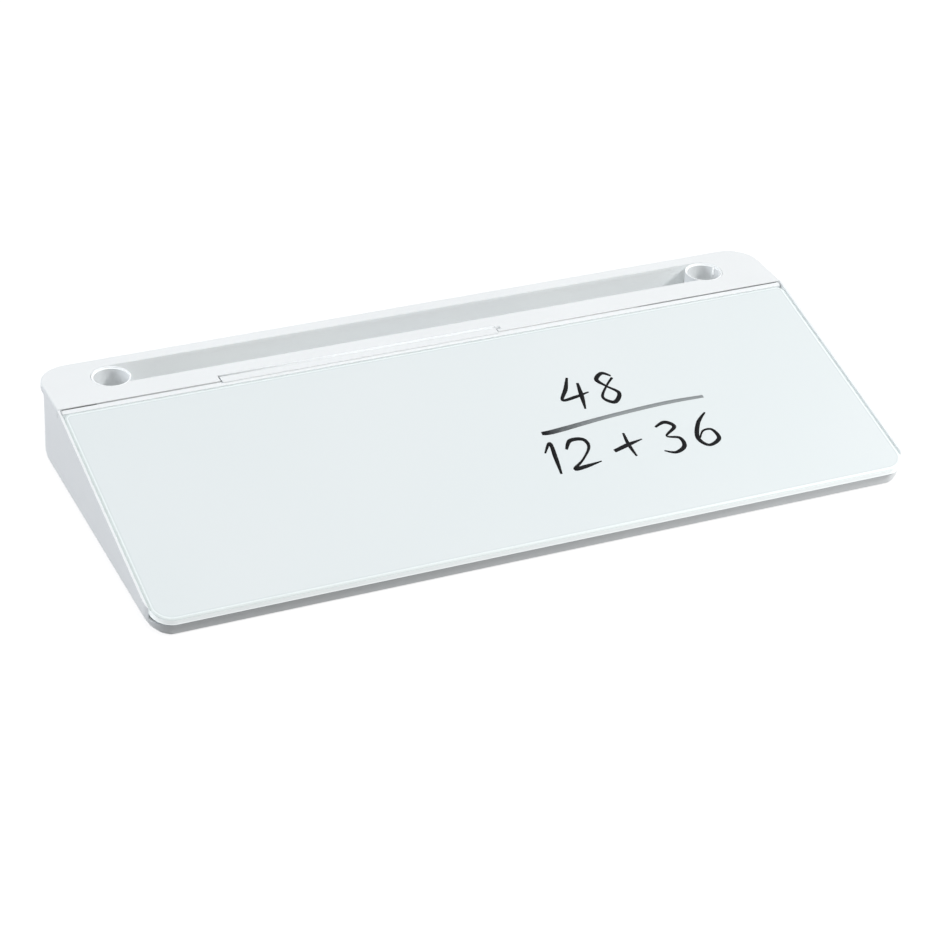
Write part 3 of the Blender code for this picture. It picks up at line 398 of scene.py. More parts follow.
def back_painted_glass():
    """Float glass with white enamel behind it: a cold white with a mirror gloss and faint wiping marks."""
    material, tree = new_material("back_painted_glass")
    tint = mottled(tree, 120 * MM, 0.0, 1.0, detail=1.0)
    wiping = mottled(tree, 30 * MM, 0.03, 0.07, stretch=(0.4, 1.6, 1.0))
    surface(
        tree,
        {"Base Color": two_tone(tree, tint, "E1E7E8", "DFE6E7"), "Roughness": wiping, "IOR": GLASS_IOR},
    )
    return material


def painted_edge_line():
    """A slightly darker line inside the bevel, painted shade that stands for the enamel's rim as it looks
    through the glass.
    """
    material, tree = new_material("painted_edge_line")
    tint = mottled(tree, 20 * MM, 0.0, 1.0)
    surface(
        tree,
        {"Base Color": two_tone(tree, tint, "DCE3E4", "DAE2E3"), "Roughness": 0.05, "IOR": GLASS_IOR},
    )
    return material


def glass_arris(name, glow):
    """Blunted arris of the glass: a thin line, painted lighter and given a painted glow, so that it is
    brighter than its surroundings.
    """
    material, tree = new_material(name)
    marks = mottled(tree, 2 * MM, 0.0, 1.0)
    surface(
        tree,
        {
            "Base Color": two_tone(tree, marks, "E6EDED", "E0E8E8"),
            "Roughness": 0.3,
            "IOR": GLASS_IOR,
            "Emission Color": linear("F5F9F9"),
            "Emission Strength": glow,
        },
    )
    return material


def polished_glass_bevel():
    """Ground and polished bevel of the glass: clear as water, with long, soft streaks from the wheel, and a
    faint painted glow.
    """
    material, tree = new_material("polished_glass_bevel")
    marks = mottled(tree, 1.5 * MM, 0.0, 1.0, stretch=(1.0, 1.0, 4.0))
    surface(
        tree,
        {
            "Base Color": two_tone(tree, marks, "DDE5E4", "D7DFDE"),
            "Roughness": 0.3,
            "IOR": GLASS_IOR,
            "Emission Color": linear("F8FBFB"),
            "Emission Strength": BEVEL_PAINTED_GLOW,
        },
    )
    return material


def seamed_glass_edge():
    """Seamed edge of the glass: frosted by the belt, with a painted glow that stands for light coming from
    inside through the glass's depth.
    """
    material, tree = new_material("seamed_glass_edge")
    grit = mottled(tree, 0.6 * MM, 0.0, 1.0)
    surface(
        tree,
        {
            "Base Color": two_tone(tree, grit, "E3E8E8", "D9DEDE"),
            "Roughness": 0.4,
            "IOR": GLASS_IOR,
            "Emission Color": linear("EBF0F0"),
            "Emission Strength": EDGE_PAINTED_GLOW,
            "Normal": relief(tree, grit, 0.01 * MM),
        },
    )
    return material


def closed_cell_foam():
    """EVA foam: matt grey, pitted by cut cells."""
    material, tree = new_material("closed_cell_foam")
    coords = add(tree, "ShaderNodeTexCoord").outputs["Object"]
    # Real cells are about 0.3 mm; they are drawn at 0.8 mm so that they show
    cells = add(tree, "ShaderNodeTexVoronoi", None, {"Vector": coords, "Scale": 1 / (0.8 * MM)})
    pits = cells.outputs["Distance"]
    surface(
        tree,
        {
            "Base Color": two_tone(tree, pits, "7F8284", "96999B"),
            "Roughness": 0.95,
            "IOR": 1.45,
            "Normal": relief(tree, pits, 0.15 * MM),
        },
    )
    return material


def silicone_rubber():
    """Pale silicone rubber: soft sheen, a little dust in its moulded skin."""
    material, tree = new_material("silicone_rubber")
    dust = mottled(tree, 2.5 * MM, 0.0, 1.0)
    surface(
        tree,
        {
            "Base Color": two_tone(tree, dust, "B6B9BB", "A9ACAE"),
            "Roughness": mottled(tree, 4 * MM, 0.5, 0.65),
            "IOR": 1.43,
            "Subsurface Weight": 0.1,
            "Subsurface Scale": 0.002,
            "Normal": relief(tree, dust, 0.02 * MM),
        },
    )
    return material


def zinc_plated_steel():
    """Zinc-plated steel: grey metal with fine turning lines and a slightly cloudy shine."""
    material, tree = new_material("zinc_plated_steel")
    cloud = mottled(tree, 1.2 * MM, 0.0, 1.0)
    lines = mottled(tree, 0.15 * MM, 0.0, 1.0, stretch=(1.0, 1.0, 6.0))
    surface(
        tree,
        {
            "Base Color": two_tone(tree, cloud, "C4C6C8", "B4B6B8"),
            "Metallic": 1.0,
            "Roughness": mottled(tree, 2 * MM, 0.26, 0.38),
            "Normal": relief(tree, lines, 0.01 * MM),
        },
    )
    return material


def foam_tape():
    """White double-sided foam tape: matt, slightly fibrous."""
    material, tree = new_material("foam_tape")
    fibres = mottled(tree, 0.5 * MM, 0.0, 1.0, stretch=(0.5, 1.0, 1.0))
    surface(
        tree,
        {
            "Base Color": two_tone(tree, fibres, "D2D2CC", "C5C5BE"),
            "Roughness": 0.85,
            "IOR": 1.45,
            "Normal": relief(tree, fibres, 0.03 * MM),
        },
    )
    return material


def dry_marker_ink():
    """Dry marker ink on glass: near black, thinner where the tip skipped."""
    material, tree = new_material("dry_marker_ink")
    skips = mottled(tree, 1.6 * MM, 0.0, 0.12, stretch=(0.6, 1.8, 1.0))
    dryness = add(tree, "ShaderNodeAttribute", {"attribute_name": "dryness"}).outputs["Fac"]
    lost = calculated(tree, "ADD", skips, dryness)
    tones = ((0.0, "060708"), (0.12, "101114"), (0.5, "83888A"), (1.0, "A9AFB0"))
    surface(
        tree,
        {
            "Base Color": ramp(tree, lost, [(place, linear(tone)) for place, tone in tones]),
            "Roughness": 0.6,
            "Specular IOR Level": 0.1,
        },
    )
    return material


def link_object(name, mesh, materials, body, node_names):
    """An object for a finished mesh: its finishes, its body, and the nodes that it stands for."""
    piece = bpy.data.objects.new(name, mesh)
    bpy.context.scene.collection.objects.link(piece)
    if not mesh.materials:
        for material in materials:
            mesh.materials.append(material)
    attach(piece, body)
    if node_names:
        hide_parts(*node_names)
    return piece


def evaluated_mesh(item, name):
    """The plain mesh of an object with its modifiers worked out."""
    graph = bpy.context.evaluated_depsgraph_get()
    mesh = bpy.data.meshes.new_from_object(item.evaluated_get(graph))
    mesh.name = name
    data = item.data
    bpy.data.objects.remove(item, do_unlink=True)
    if data.users == 0:
        bpy.data.meshes.remove(data)
    return mesh


def eased_mesh(shape, name, width, joint=None):
    """A mesh whose hard edges are eased by a small round, but for those at the height of a joint."""
    weights = shape.edges.layers.float.new("bevel_weight_edge")
    for edge in shape.edges:
        hard = edge.is_manifold and edge.calc_face_angle() > EDGE_ANGLE
        at_joint = joint is not None and all(abs(end.co.z - joint) < JOINT_REACH for end in edge.verts)
        edge[weights] = 1.0 if hard and not at_joint else 0.0
        edge.smooth = not (hard and at_joint)
    rough = bpy.data.meshes.new(name)
    shape.to_mesh(rough)
    shape.free()
    rough.shade_smooth()
    item = bpy.data.objects.new(name, rough)
    bpy.context.scene.collection.objects.link(item)
    bevel = item.modifiers.new("eased_edges", "BEVEL")
    bevel.width = width
    bevel.segments = EDGE_STEPS
    bevel.limit_method = "WEIGHT"
    bevel.use_clamp_overlap = True
    bevel.harden_normals = True
    bevel.miter_outer = "MITER_ARC"
    item.modifiers.new("flats_lead_the_shading", "WEIGHTED_NORMAL").keep_sharp = True
    return evaluated_mesh(item, name)


def eased_copy(node_name, width, material, body, joint=None):
    """A moulding made from its solid, merged and with its hard edges eased."""
    shape = bmesh.new()
    shape.from_mesh(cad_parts[node_name].data)
    bmesh.ops.remove_doubles(shape, verts=shape.verts, dist=MERGE_DISTANCE)
    bmesh.ops.dissolve_limit(shape, angle_limit=FLAT_ANGLE, verts=shape.verts, edges=shape.edges)
    if joint is not None:
        for vertex in shape.verts:
            if joint - TROUGH_GAP < vertex.co.z < joint:
                vertex.co.z = joint - JOINT_REACH / 2
    name = node_name + "_moulding"
    mesh = eased_mesh(shape, name, width, joint)
    return link_object(name, mesh, [material], body, [node_name])


def glass_place():
    """The glass's own frame, in the middle of its face with Z square to it, its half sizes and its depth."""
    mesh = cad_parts["glass_panel"].data
    face = max(mesh.polygons, key=lambda polygon: polygon.area * (polygon.normal.z > 0))
    normal = face.normal.copy()
    across = Vector((1, 0, 0))
    along = normal.cross(across).normalized()
    start = mesh.vertices[face.vertices[0]].co
    sides = [vertex.co.x for vertex in mesh.vertices]
    ends = [(vertex.co - start).dot(along) for vertex in mesh.vertices]
    depths = [(vertex.co - start).dot(normal) for vertex in mesh.vertices]
    middle = start + along * (min(ends) + max(ends)) / 2 - across * start.x
    place = Matrix((
        (across.x, along.x, normal.x, middle.x),
        (across.y, along.y, normal.y, middle.y),
        (across.z, along.z, normal.z, middle.z),
        (0, 0, 0, 1),
    ))
    return place, max(sides), (max(ends) - min(ends)) / 2, min(depths)


def corner_points(half_width, half_depth, front_radius, rear_radius):
    """The outline of the glass, with its own radius at the front and at the rear corners."""
    corners = (
        (half_width - rear_radius, half_depth - rear_radius, rear_radius),
        (rear_radius - half_width, half_depth - rear_radius, rear_radius),
        (front_radius - half_width, front_radius - half_depth, front_radius),
        (half_width - front_radius, front_radius - half_depth, front_radius),
    )
    points = []
    for number, (x, y, radius) in enumerate(corners):
        for step in range(CORNER_STEPS + 1):
            angle = math.radians(90) * (number + step / CORNER_STEPS)
            points.append((x + radius * math.cos(angle), y + radius * math.sin(angle)))
    return points


def glass_sheet():
    """The writing surface, ring by ring: edge, bevel, their arrises, the painted line for the enamel's rim,
    and the face.
    """
    place, half_width, half_depth, bottom = glass_place()
    rings = (
        (ARRIS, bottom, EDGE_FINISH),
        (0.0, bottom + ARRIS, LOWER_FINISH),
        (0.0, bottom + LOWER_ARRIS, LOWER_FINISH),
        (0.0, -BEVEL_DEPTH - ARRIS / 2, EDGE_FINISH),
        (ARRIS / 2, -BEVEL_DEPTH + ARRIS / 4, BEVEL_FINISH),
        (BEVEL_WIDTH - ARRIS / 2, -ARRIS / 4, BEVEL_FINISH),
        (BEVEL_WIDTH + ARRIS / 2, 0.0, UPPER_FINISH),
        (BEVEL_WIDTH + UPPER_ARRIS, 0.0, UPPER_FINISH),
        (INNER_LINE_END, 0.0, LINE_FINISH),
    )
    shape = bmesh.new()
    skins = []
    for inset, height, _ in rings:
        radii = (GLASS_FRONT_RADIUS - inset, GLASS_REAR_RADIUS - inset)
        outline = corner_points(half_width - inset, half_depth - inset, *radii)
        skins.append([shape.verts.new(place @ Vector((x, y, height))) for x, y in outline])
    for (lower, upper), (_, _, finish) in zip(zip(skins, skins[1:]), rings[1:]):
        for number in range(len(lower)):
            face = shape.faces.new((lower[number - 1], lower[number], upper[number], upper[number - 1]))
            face.material_index = finish
    shape.faces.new(list(reversed(skins[0]))).material_index = FACE_FINISH
    shape.faces.new(skins[-1]).material_index = FACE_FINISH
    mesh = smooth_mesh(shape, "glass_sheet")
    # In the order of the numbers above
    finishes = [
        seamed_glass_edge(),
        polished_glass_bevel(),
        painted_edge_line(),
        back_painted_glass(),
        glass_arris("lower_glass_arris", LOWER_ARRIS_PAINTED_GLOW),
        glass_arris("upper_glass_arris", UPPER_ARRIS_PAINTED_GLOW),
    ]
    link_object("glass_sheet", mesh, finishes, "lid", ["glass_panel"])
    return place


def turned_into(shape, profile, place, steps):
    """Turns a profile of radii and heights about an upright line through a place, closed at both ends."""
    rings = []
    for radius, height in profile:
        ring = []
        for step in range(steps):
            angle = math.radians(360) * step / steps
            x = place[0] + radius * math.cos(angle)
            y = place[1] + radius * math.sin(angle)
            ring.append(shape.verts.new((x, y, height)))
        rings.append(ring)
    for lower, upper in zip(rings, rings[1:]):
        for number in range(steps):
            shape.faces.new((lower[number - 1], lower[number], upper[number], upper[number - 1]))
    shape.faces.new(list(reversed(rings[0])))
    shape.faces.new(rings[-1])


def smooth_mesh(shape, name):
    """A mesh from a shape, smooth over its shallow edges."""
    for face in shape.faces:
        face.smooth = True
    mesh = bpy.data.meshes.new(name)
    shape.to_mesh(mesh)
    shape.free()
    mesh.set_sharp_from_angle(angle=EDGE_ANGLE)
    return mesh


def quarter_round(radius, height, round_radius, start):
    """Radii and heights along a quarter of a small round about a middle, from a start angle in degrees."""
    points = []
    for step in range(ROUND_STEPS + 1):
        angle = math.radians(start + 90 * step / ROUND_STEPS)
        points.append((radius + round_radius * math.cos(angle), height + round_radius * math.sin(angle)))
    return points


def cup_profile(outer, low, high):
    """The section of a pen cup: up its outer side, over the stepped rim and down its bore."""
    rim = CUP_RIM_ROUND
    foot = CUP_FOOT_ROUND
    floor = low + CUP_FLOOR
    step = outer - CUP_STEP_WIDTH
    ledge = high - CUP_STEP_DEPTH
    profile = [(outer * CORE_SHARE, low), (outer - rim, low), (outer, low + rim)]
    profile += quarter_round(outer - rim, high - rim, rim, 0)
    profile += quarter_round(step + rim, high - rim, rim, 90)
    profile += [(step, ledge)]
    profile += quarter_round(CUP_BORE_RADIUS + rim, ledge - rim, rim, 90)
    profile += [
        (CUP_BORE_RADIUS, floor + foot * FOOT_ROUND_FAR),
        (CUP_BORE_RADIUS - foot * FOOT_ROUND_NEAR, floor + foot * FOOT_ROUND_NEAR),
        (CUP_BORE_RADIUS - foot * FOOT_ROUND_FAR, floor),
        (CUP_BORE_RADIUS * CORE_SHARE, floor),
    ]
    return profile


def finish_openings(shell, slot_finish, lip_finish):
    """Gives the slot's walls in the shelf the trough's finish with its painted light, and the lip along the
    lid its own finish with a painted glow.
    """
    shell.data.materials.append(slot_finish)
    shell.data.materials.append(lip_finish)
    for face in shell.data.polygons:
        place = face.center
        in_slot = SLOT_WALL_FRONT < place.y < SLOT_WALL_BACK and SHELF_UNDERSIDE < place.z < SLOT_WALL_TOP
        on_lip = LIP_FRONT < place.y < LIP_BACK and LIP_BOTTOM < place.z
        if in_slot and abs(face.normal.z) < WALL_TILT:
            face.material_index = SLOT_FINISH
        elif on_lip and face.normal.y < -WALL_TILT:
            face.material_index = LIP_FINISH


def add_rib(shape, middle, top):
    """Adds the small upright rib in the bore of a cup, sunk a little into its wall."""
    depth, across, length = RIB_SIZE
    reach = CUP_BORE_RADIUS + (RIB_SUNK - depth) / 2
    spot = Matrix.Translation((*middle, top - RIB_DROP - length / 2)) @ Matrix.Rotation(RIB_ANGLE, 4, "Z")
    size = Matrix.Diagonal((depth + RIB_SUNK, across, length, 1))
    rib = bmesh.new()
    bmesh.ops.create_cube(rib, size=1, matrix=spot @ Matrix.Translation((reach, 0, 0)) @ size)
    bmesh.ops.bevel(rib, geom=rib.edges, offset=RIB_EDGE, segments=RIB_EDGE_STEPS, affect="EDGES")
    mesh = bpy.data.meshes.new("clip_rib")
    rib.to_mesh(mesh)
    rib.free()
    shape.from_mesh(mesh)
    bpy.data.meshes.remove(mesh)


def pen_cup(end, materials):
    """A turned cup with a rounded rim, painted brighter with a painted glow, and in the right one the small
    rib, with its own painted glow, inside the bore.
    """
    node_name = "pen_cup_" + end
    low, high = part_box(node_name)
    middle = ((low.x + high.x) / 2, (low.y + high.y) / 2)
    shape = bmesh.new()
    turned_into(shape, cup_profile((high.x - low.x) / 2, low.z, high.z), middle, CUP_STEPS)
    if end == "right":
        add_rib(shape, middle, high.z)
    name = node_name + "_turning"
    mesh = smooth_mesh(shape, name)
    rim_bottom = high.z - CUP_STEP_DEPTH - CUP_RIM_ROUND
    rib_bottom = high.z - RIB_DROP - RIB_SIZE[2]
    for face in mesh.polygons:
        in_bore = math.dist(face.center[:2], middle) < CUP_BORE_RADIUS - BORE_MARGIN
        if face.center.z > rim_bottom:
            face.material_index = RIM_FINISH
        elif in_bore and face.center.z > rib_bottom:
            face.material_index = RIB_FINISH
    link_object(name, mesh, materials, "base", [node_name])


def rubber_foot(node_name, material):
    """A round foot with an eased edge and a ring groove in its sole."""
    low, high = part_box(node_name)
    radius = (high.x - low.x) / 2
    middle = ((low.x + high.x) / 2, (low.y + high.y) / 2)
    inner, outer, depth = FOOT_GROOVE
    profile = [(radius * CORE_SHARE, low.z), (inner, low.z), (inner + depth / 2, low.z + depth)]
    profile += [(outer - depth / 2, low.z + depth), (outer, low.z)]
    profile += quarter_round(radius - FOOT_EDGE, low.z + FOOT_EDGE, FOOT_EDGE, -90)
    profile += [(radius, high.z), (radius * CORE_SHARE, high.z)]
    shape = bmesh.new()
    turned_into(shape, profile, middle, TURNED_STEPS)
    name = node_name + "_pad"
    link_object(name, smooth_mesh(shape, name), [material], "base", [node_name])


def open_tree(name, sizes):
    """A tree of geometry nodes with some named sizes, and what it is given."""
    tree = bpy.data.node_groups.new(name, "GeometryNodeTree")
    tree.interface.new_socket(name="Geometry", in_out="INPUT", socket_type="NodeSocketGeometry")
    for size_name, size in sizes.items():
        socket = tree.interface.new_socket(name=size_name, in_out="INPUT", socket_type="NodeSocketFloat")
        socket.default_value = size
    tree.interface.new_socket(name="Geometry", in_out="OUTPUT", socket_type="NodeSocketGeometry")
    return tree, add(tree, "NodeGroupInput").outputs


def close_tree(tree, geometry, material):
    """Makes the geometry real, gives it its finish and hands it out."""
    real = add(tree, "GeometryNodeRealizeInstances", None, {"Geometry": geometry}).outputs["Geometry"]
    inputs = {"Geometry": real, "Material": material}
    coloured = add(tree, "GeometryNodeSetMaterial", None, inputs).outputs["Geometry"]
    add(tree, "NodeGroupOutput", None, {"Geometry": coloured})


def raised(tree, geometry, height):
    """Geometry moved along Z."""
    offset = add(tree, "ShaderNodeCombineXYZ", None, {"Z": height}).outputs[0]
    inputs = {"Geometry": geometry, "Translation": offset}
    return add(tree, "GeometryNodeTransform", None, inputs).outputs["Geometry"]


def recessed_head(tree, radius, height):
    """The head of a screw below its bearing face, with a cross cut into it from below."""
    bottom = calculated(tree, "MULTIPLY", height, -1.0)
    crown = calculated(tree, "MULTIPLY", radius, CROWN_SHARE)
    inputs = {"Vertices": HEAD_STEPS, "Radius Top": radius, "Radius Bottom": crown, "Depth": height}
    cone = add(tree, "GeometryNodeMeshCone", None, inputs).outputs["Mesh"]
    head = raised(tree, cone, bottom)
    cross_length = calculated(tree, "MULTIPLY", radius, CROSS_LENGTH_SHARE)
    arms = []
    for x, y in ((cross_length, CROSS_WIDTH), (CROSS_WIDTH, cross_length)):
        size = add(tree, "ShaderNodeCombineXYZ", None, {"X": x, "Y": y, "Z": 2 * CROSS_DEPTH}).outputs[0]
        arm = add(tree, "GeometryNodeMeshCube", None, {"Size": size}).outputs["Mesh"]
        arms.append(raised(tree, arm, bottom))
    settings = {"operation": "DIFFERENCE", "solver": "EXACT"}
    recessed = add(tree, "GeometryNodeMeshBoolean", settings, {"Mesh 1": head})
    for arm in arms:
        tree.links.new(arm, recessed.inputs["Mesh 2"])
    return recessed.outputs["Mesh"]


def screw_tree(material):
    """Nodes that put a screw with a cross recess, its head down, at every point of the given mesh."""
    sizes = {"Head Radius": HEAD_RADIUS, "Head Height": HEAD_HEIGHT, "Length": SCREW_LENGTH}
    tree, given = open_tree("cross_recess_screws", sizes)
    head = recessed_head(tree, given["Head Radius"], given["Head Height"])
    inputs = {"Vertices": SHANK_STEPS, "Radius": SHANK_RADIUS, "Depth": given["Length"]}
    cylinder = add(tree, "GeometryNodeMeshCylinder", None, inputs).outputs["Mesh"]
    shank = raised(tree, cylinder, calculated(tree, "MULTIPLY", given["Length"], 0.5))
    screw = add(tree, "GeometryNodeJoinGeometry", None, {"Geometry": head})
    tree.links.new(shank, screw.inputs["Geometry"])
    inputs = {"Points": given["Geometry"], "Instance": screw.outputs["Geometry"]}
    placed = add(tree, "GeometryNodeInstanceOnPoints", None, inputs).outputs["Instances"]
    close_tree(tree, placed, material)
    return tree


def screws(tree, name, node_names, length, material):
    """One set of like screws, each in the place of its solid."""
    boxes = [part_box(node_name) for node_name in node_names]
    low, high = boxes[0]
    height = high.z - low.z - length
    places = [((low.x + high.x) / 2, (low.y + high.y) / 2, low.z + height) for low, high in boxes]
    points = bpy.data.meshes.new(name)
    points.from_pydata(places, [], [])
    item = bpy.data.objects.new(name, points)
    bpy.context.scene.collection.objects.link(item)
    modifier = item.modifiers.new("screws", "NODES")
    modifier.node_group = tree
    sizes = {"Head Radius": (high.x - low.x) / 2, "Head Height": height, "Length": length}
    for socket in tree.interface.items_tree:
        if socket.name in sizes:
            modifier[socket.identifier] = sizes[socket.name]
    mesh = evaluated_mesh(item, name)
    link_object(name, mesh, [material], "base", node_names)


def stroke_tree(material):
    """Nodes that lay a flat ribbon of ink along each line, as wide as the pen was pressed."""
    tree, given = open_tree("ink_strokes", {"Width": STROKE_WIDTH, "Height": STROKE_HEIGHT})
    pressure = add(tree, "GeometryNodeInputNamedAttribute", {"data_type": "FLOAT"}, {"Name": "pressure"})
    line = add(tree, "GeometryNodeMeshToCurve", None, {"Mesh": given["Geometry"]}).outputs["Curve"]
    upright = add(tree, "GeometryNodeSetCurveNormal", {"mode": "Z_UP"}, {"Curve": line})
    sizes = {"Width": given["Width"], "Height": given["Height"]}
    nib = add(tree, "GeometryNodeCurvePrimitiveQuadrilateral", {"mode": "RECTANGLE"}, sizes)
    inputs = {
        "Curve": upright.outputs["Curve"],
        "Profile Curve": nib.outputs["Curve"],
        "Scale": pressure.outputs["Attribute"],
        "Fill Caps": True,
    }
    ribbon = add(tree, "GeometryNodeCurveToMesh", None, inputs)
    close_tree(tree, ribbon.outputs["Mesh"], material)
    return tree


def flowing(points):
    """Points along a smooth line through the given ones, all their values blended alike."""
    ends = [points[0]] + list(points) + [points[-1]]
    line = []
    for before, start, end, after in zip(ends, ends[1:], ends[2:], ends[3:]):
        for step in range(STROKE_STEPS):
            share = step / STROKE_STEPS
            line.append(tuple(
                0.5 * (
                    2 * start[axis]
                    + (end[axis] - before[axis]) * share
                    + (2 * before[axis] - 5 * start[axis] + 4 * end[axis] - after[axis]) * share ** 2
                    + (3 * start[axis] - before[axis] - 3 * end[axis] + after[axis]) * share ** 3
                )
                for axis in range(len(start))
            ))
    return line + [points[-1]]


def writing_lines():
    """The strokes as a mesh of lines, whose points know the pen's pressure and how dry its tip is."""
    vertices = []
    edges = []
    values = {"pressure": [], "dryness": []}
    for sign, (x, y), (width, height) in WRITING:
        for stroke in SIGN_STROKES[sign]:
            slanted = [
                (x + width * across + SLANT * height * rise, y + height * rise, pressed)
                for across, rise, pressed in stroke
            ]
            line = flowing(slanted)
            first = len(vertices)
            vertices += [(across * MM, along * MM, 0) for across, along, _ in line]
            edges += [(first + number, first + number + 1) for number in range(len(line) - 1)]
            values["pressure"] += [pressed for _, _, pressed in line]
            drying = DRYING_SHARES.get(sign, 0)
            for number in range(len(line)):
                gone = (number / len(line) - DRYING_START) / DRYING_LENGTH
                values["dryness"].append(drying * min(1.0, max(0.0, gone)))
    mesh = bpy.data.meshes.new("marker_writing")
    mesh.from_pydata(vertices, edges, [])
    for name, numbers in values.items():
        mesh.attributes.new(name, "FLOAT", "POINT").data.foreach_set("value", numbers)
    return mesh


def marker_writing(place):
    """A plain sum in marker on the glass: one number over two."""
    item = bpy.data.objects.new("marker_writing", writing_lines())
    bpy.context.scene.collection.objects.link(item)
    ink = dry_marker_ink()
    item.modifiers.new("strokes", "NODES").node_group = stroke_tree(ink)
    ribbon = evaluated_mesh(item, "marker_writing")
    ribbon.transform(place @ Matrix.Translation((0, 0, STROKE_LIFT + STROKE_HEIGHT / 2)))
    link_object("marker_writing", ribbon, [ink], "lid", [])


def dress_nodes(finishes):
    """Gives the solids that stay in view their finish."""
    for material, node_names in finishes:
        for node_name in node_names:
            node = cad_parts[node_name]
            for slot in node.material_slots:
                slot.material = material


def camera():
    """The camera, at the angle and distance of the photographed view."""
    ahead = Vector((
        -math.sin(CAMERA_YAW) * math.cos(CAMERA_PITCH),
        math.cos(CAMERA_YAW) * math.cos(CAMERA_PITCH),
        math.sin(CAMERA_PITCH),
    ))
    level = ahead.cross(Vector((0, 0, 1))).normalized()
    upward = level.cross(ahead)
    right = level * math.cos(CAMERA_ROLL) + upward * math.sin(CAMERA_ROLL)
    up = upward * math.cos(CAMERA_ROLL) - level * math.sin(CAMERA_ROLL)
    data = bpy.data.cameras.new("camera")
    data.sensor_width = SENSOR_WIDTH
    data.lens = CAMERA_FOCAL_PIXELS * SENSOR_WIDTH / PICTURE_SIDE
    data.clip_start = CLIP_START
    item = bpy.data.objects.new("camera", data)
    item.matrix_world = Matrix((
        (right.x, up.x, -ahead.x, CAMERA_PLACE.x),
        (right.y, up.y, -ahead.y, CAMERA_PLACE.y),
        (right.z, up.z, -ahead.z, CAMERA_PLACE.z),
        (0, 0, 0, 1),
    ))
    bpy.context.scene.collection.objects.link(item)
    bpy.context.scene.camera = item


def seen_directly(tree):
    """1 for rays that show the background: straight from the camera, or mirrored."""
    path = add(tree, "ShaderNodeLightPath").outputs
    mirrored = calculated(tree, "MAXIMUM", path["Is Camera Ray"], path["Is Glossy Ray"])
    unscattered = calculated(tree, "LESS_THAN", path["Diffuse Depth"], 0.5)
    return calculated(tree, "MULTIPLY", mirrored, unscattered)


def white_table():
    """The plain pale surface under the object. It shows near white and keeps a faint shadow."""
    corners = [(x * TABLE_REACH, y * TABLE_REACH, 0) for x, y in ((-1, -1), (1, -1), (1, 1), (-1, 1))]
    mesh = bpy.data.meshes.new("table_top")
    mesh.from_pydata(corners, [], [(0, 1, 2, 3)])
    table = bpy.data.objects.new("table_top", mesh)
    bpy.context.scene.collection.objects.link(table)
    material, tree = new_material("matt_white_table")
    paint = add(tree, "ShaderNodeBsdfDiffuse", None, {"Color": linear("828384")})
    strength = calculated(tree, "MULTIPLY", seen_directly(tree), TABLE_GLOW)
    glow = add(tree, "ShaderNodeEmission", None, {"Color": linear("FFFFFF"), "Strength": strength})
    both = add(tree, "ShaderNodeAddShader", None, {0: paint.outputs[0], 1: glow.outputs[0]})
    add(tree, "ShaderNodeOutputMaterial", None, {"Surface": both.outputs[0]})
    mesh.materials.append(material)


def studio_world():
    """Even, soft light from all round, and a white background."""
    world = bpy.data.worlds.new("studio")
    bpy.context.scene.world = world
    world.use_nodes = True
    tree = world.node_tree
    tree.nodes.clear()
    strength = spread(tree, seen_directly(tree), (0.0, 1.0), (WORLD_LIGHT, BACKGROUND_LIGHT))
    light = add(tree, "ShaderNodeBackground", None, {"Color": linear("FFFFFF"), "Strength": strength})
    add(tree, "ShaderNodeOutputWorld", None, {"Surface": light.outputs["Background"]})


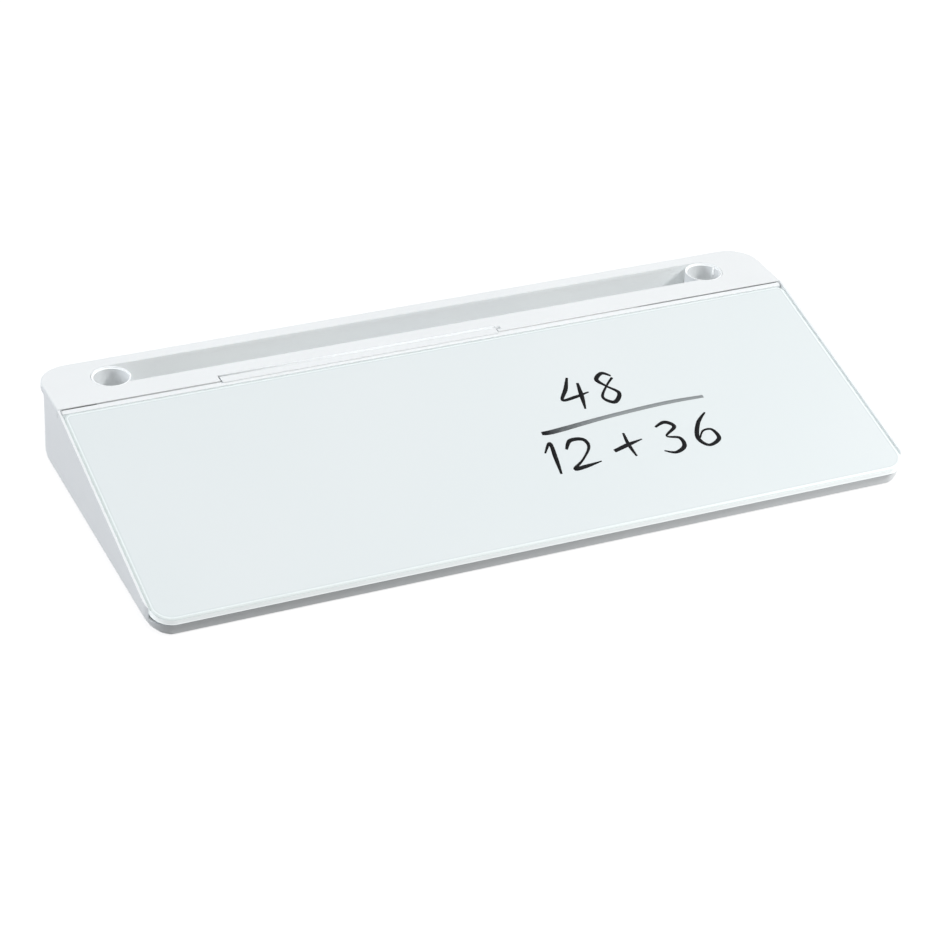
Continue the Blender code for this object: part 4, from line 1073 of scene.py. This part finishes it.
def softbox(name, place, aim, width, height, power, tint):
    """A large soft lamp that looks at a point."""
    data = bpy.data.lights.new(name, "AREA")
    data.shape = "RECTANGLE"
    data.size = width
    data.size_y = height
    data.energy = power
    data.color = linear(tint)[:3]
    item = bpy.data.objects.new(name, data)
    item.location = place
    item.rotation_euler = (Vector(aim) - Vector(place)).to_track_quat("-Z", "Y").to_euler()
    bpy.context.scene.collection.objects.link(item)


def lamps():
    """A key lamp high over the right end, a broad one overhead, a reflector on the left and a low fill."""
    for name, settings in LAMPS.items():
        softbox(name, *settings)


def main():
    """Makes the whole scene."""
    camera()
    white_table()
    studio_world()
    lamps()

    white = satin_white_abs()
    # Painted light: the lighter, glowing white of the slot, the cup rims and the rib
    painted_bright = painted_light_white_abs()
    rib = rib_abs_painted_glow()
    plain = plain_white_abs()
    foam = closed_cell_foam()
    rubber = silicone_rubber()
    steel = zinc_plated_steel()
    tape = foam_tape()

    shell = eased_copy("body_shell", SHELL_EDGE, white, "base", SHELF_UNDERSIDE)
    finish_openings(shell, painted_bright, lip_abs_painted_glow())
    eased_copy("lid_frame", FRAME_EDGE, white, "lid")
    eased_copy("slot_trough", TROUGH_EDGE, painted_bright, "base", SHELF_UNDERSIDE)
    eased_copy("bottom_cover", COVER_EDGE, plain, "base")
    eased_copy("hinge_rail", RAIL_EDGE, plain, "base")
    marker_writing(glass_sheet())
    for end in ("left", "right"):
        pen_cup(end, [white, painted_bright, rib])
    for place in ("front_left", "front_right", "rear_left", "rear_right"):
        rubber_foot("foot_" + place, rubber)

    tree = screw_tree(steel)
    rail_screws = ["hinge_rail_screw_" + place for place in ("left", "middle", "right")]
    screws(tree, "hinge_rail_screw_set", rail_screws, SCREW_LENGTH, steel)
    screws(tree, "trough_screw_set", ["trough_screw_left", "trough_screw_right"], SCREW_LENGTH, steel)
    cover_screws = ["cover_screw_" + str(number + 1) for number in range(COVER_SCREWS)]
    screws(tree, "cover_screw_set", cover_screws, COVER_SCREW_LENGTH, steel)

    dress_nodes((
        (foam, ("slot_pad", "cup_pad_left", "cup_pad_right")),
        (rubber, ("lid_bumper_left", "lid_bumper_right")),
        (tape, ("tape_front", "tape_back", "tape_left", "tape_right")),
        (steel, ("hinge_rod",)),
    ))


bpy.context.scene.view_settings.view_transform = "Standard"
main()
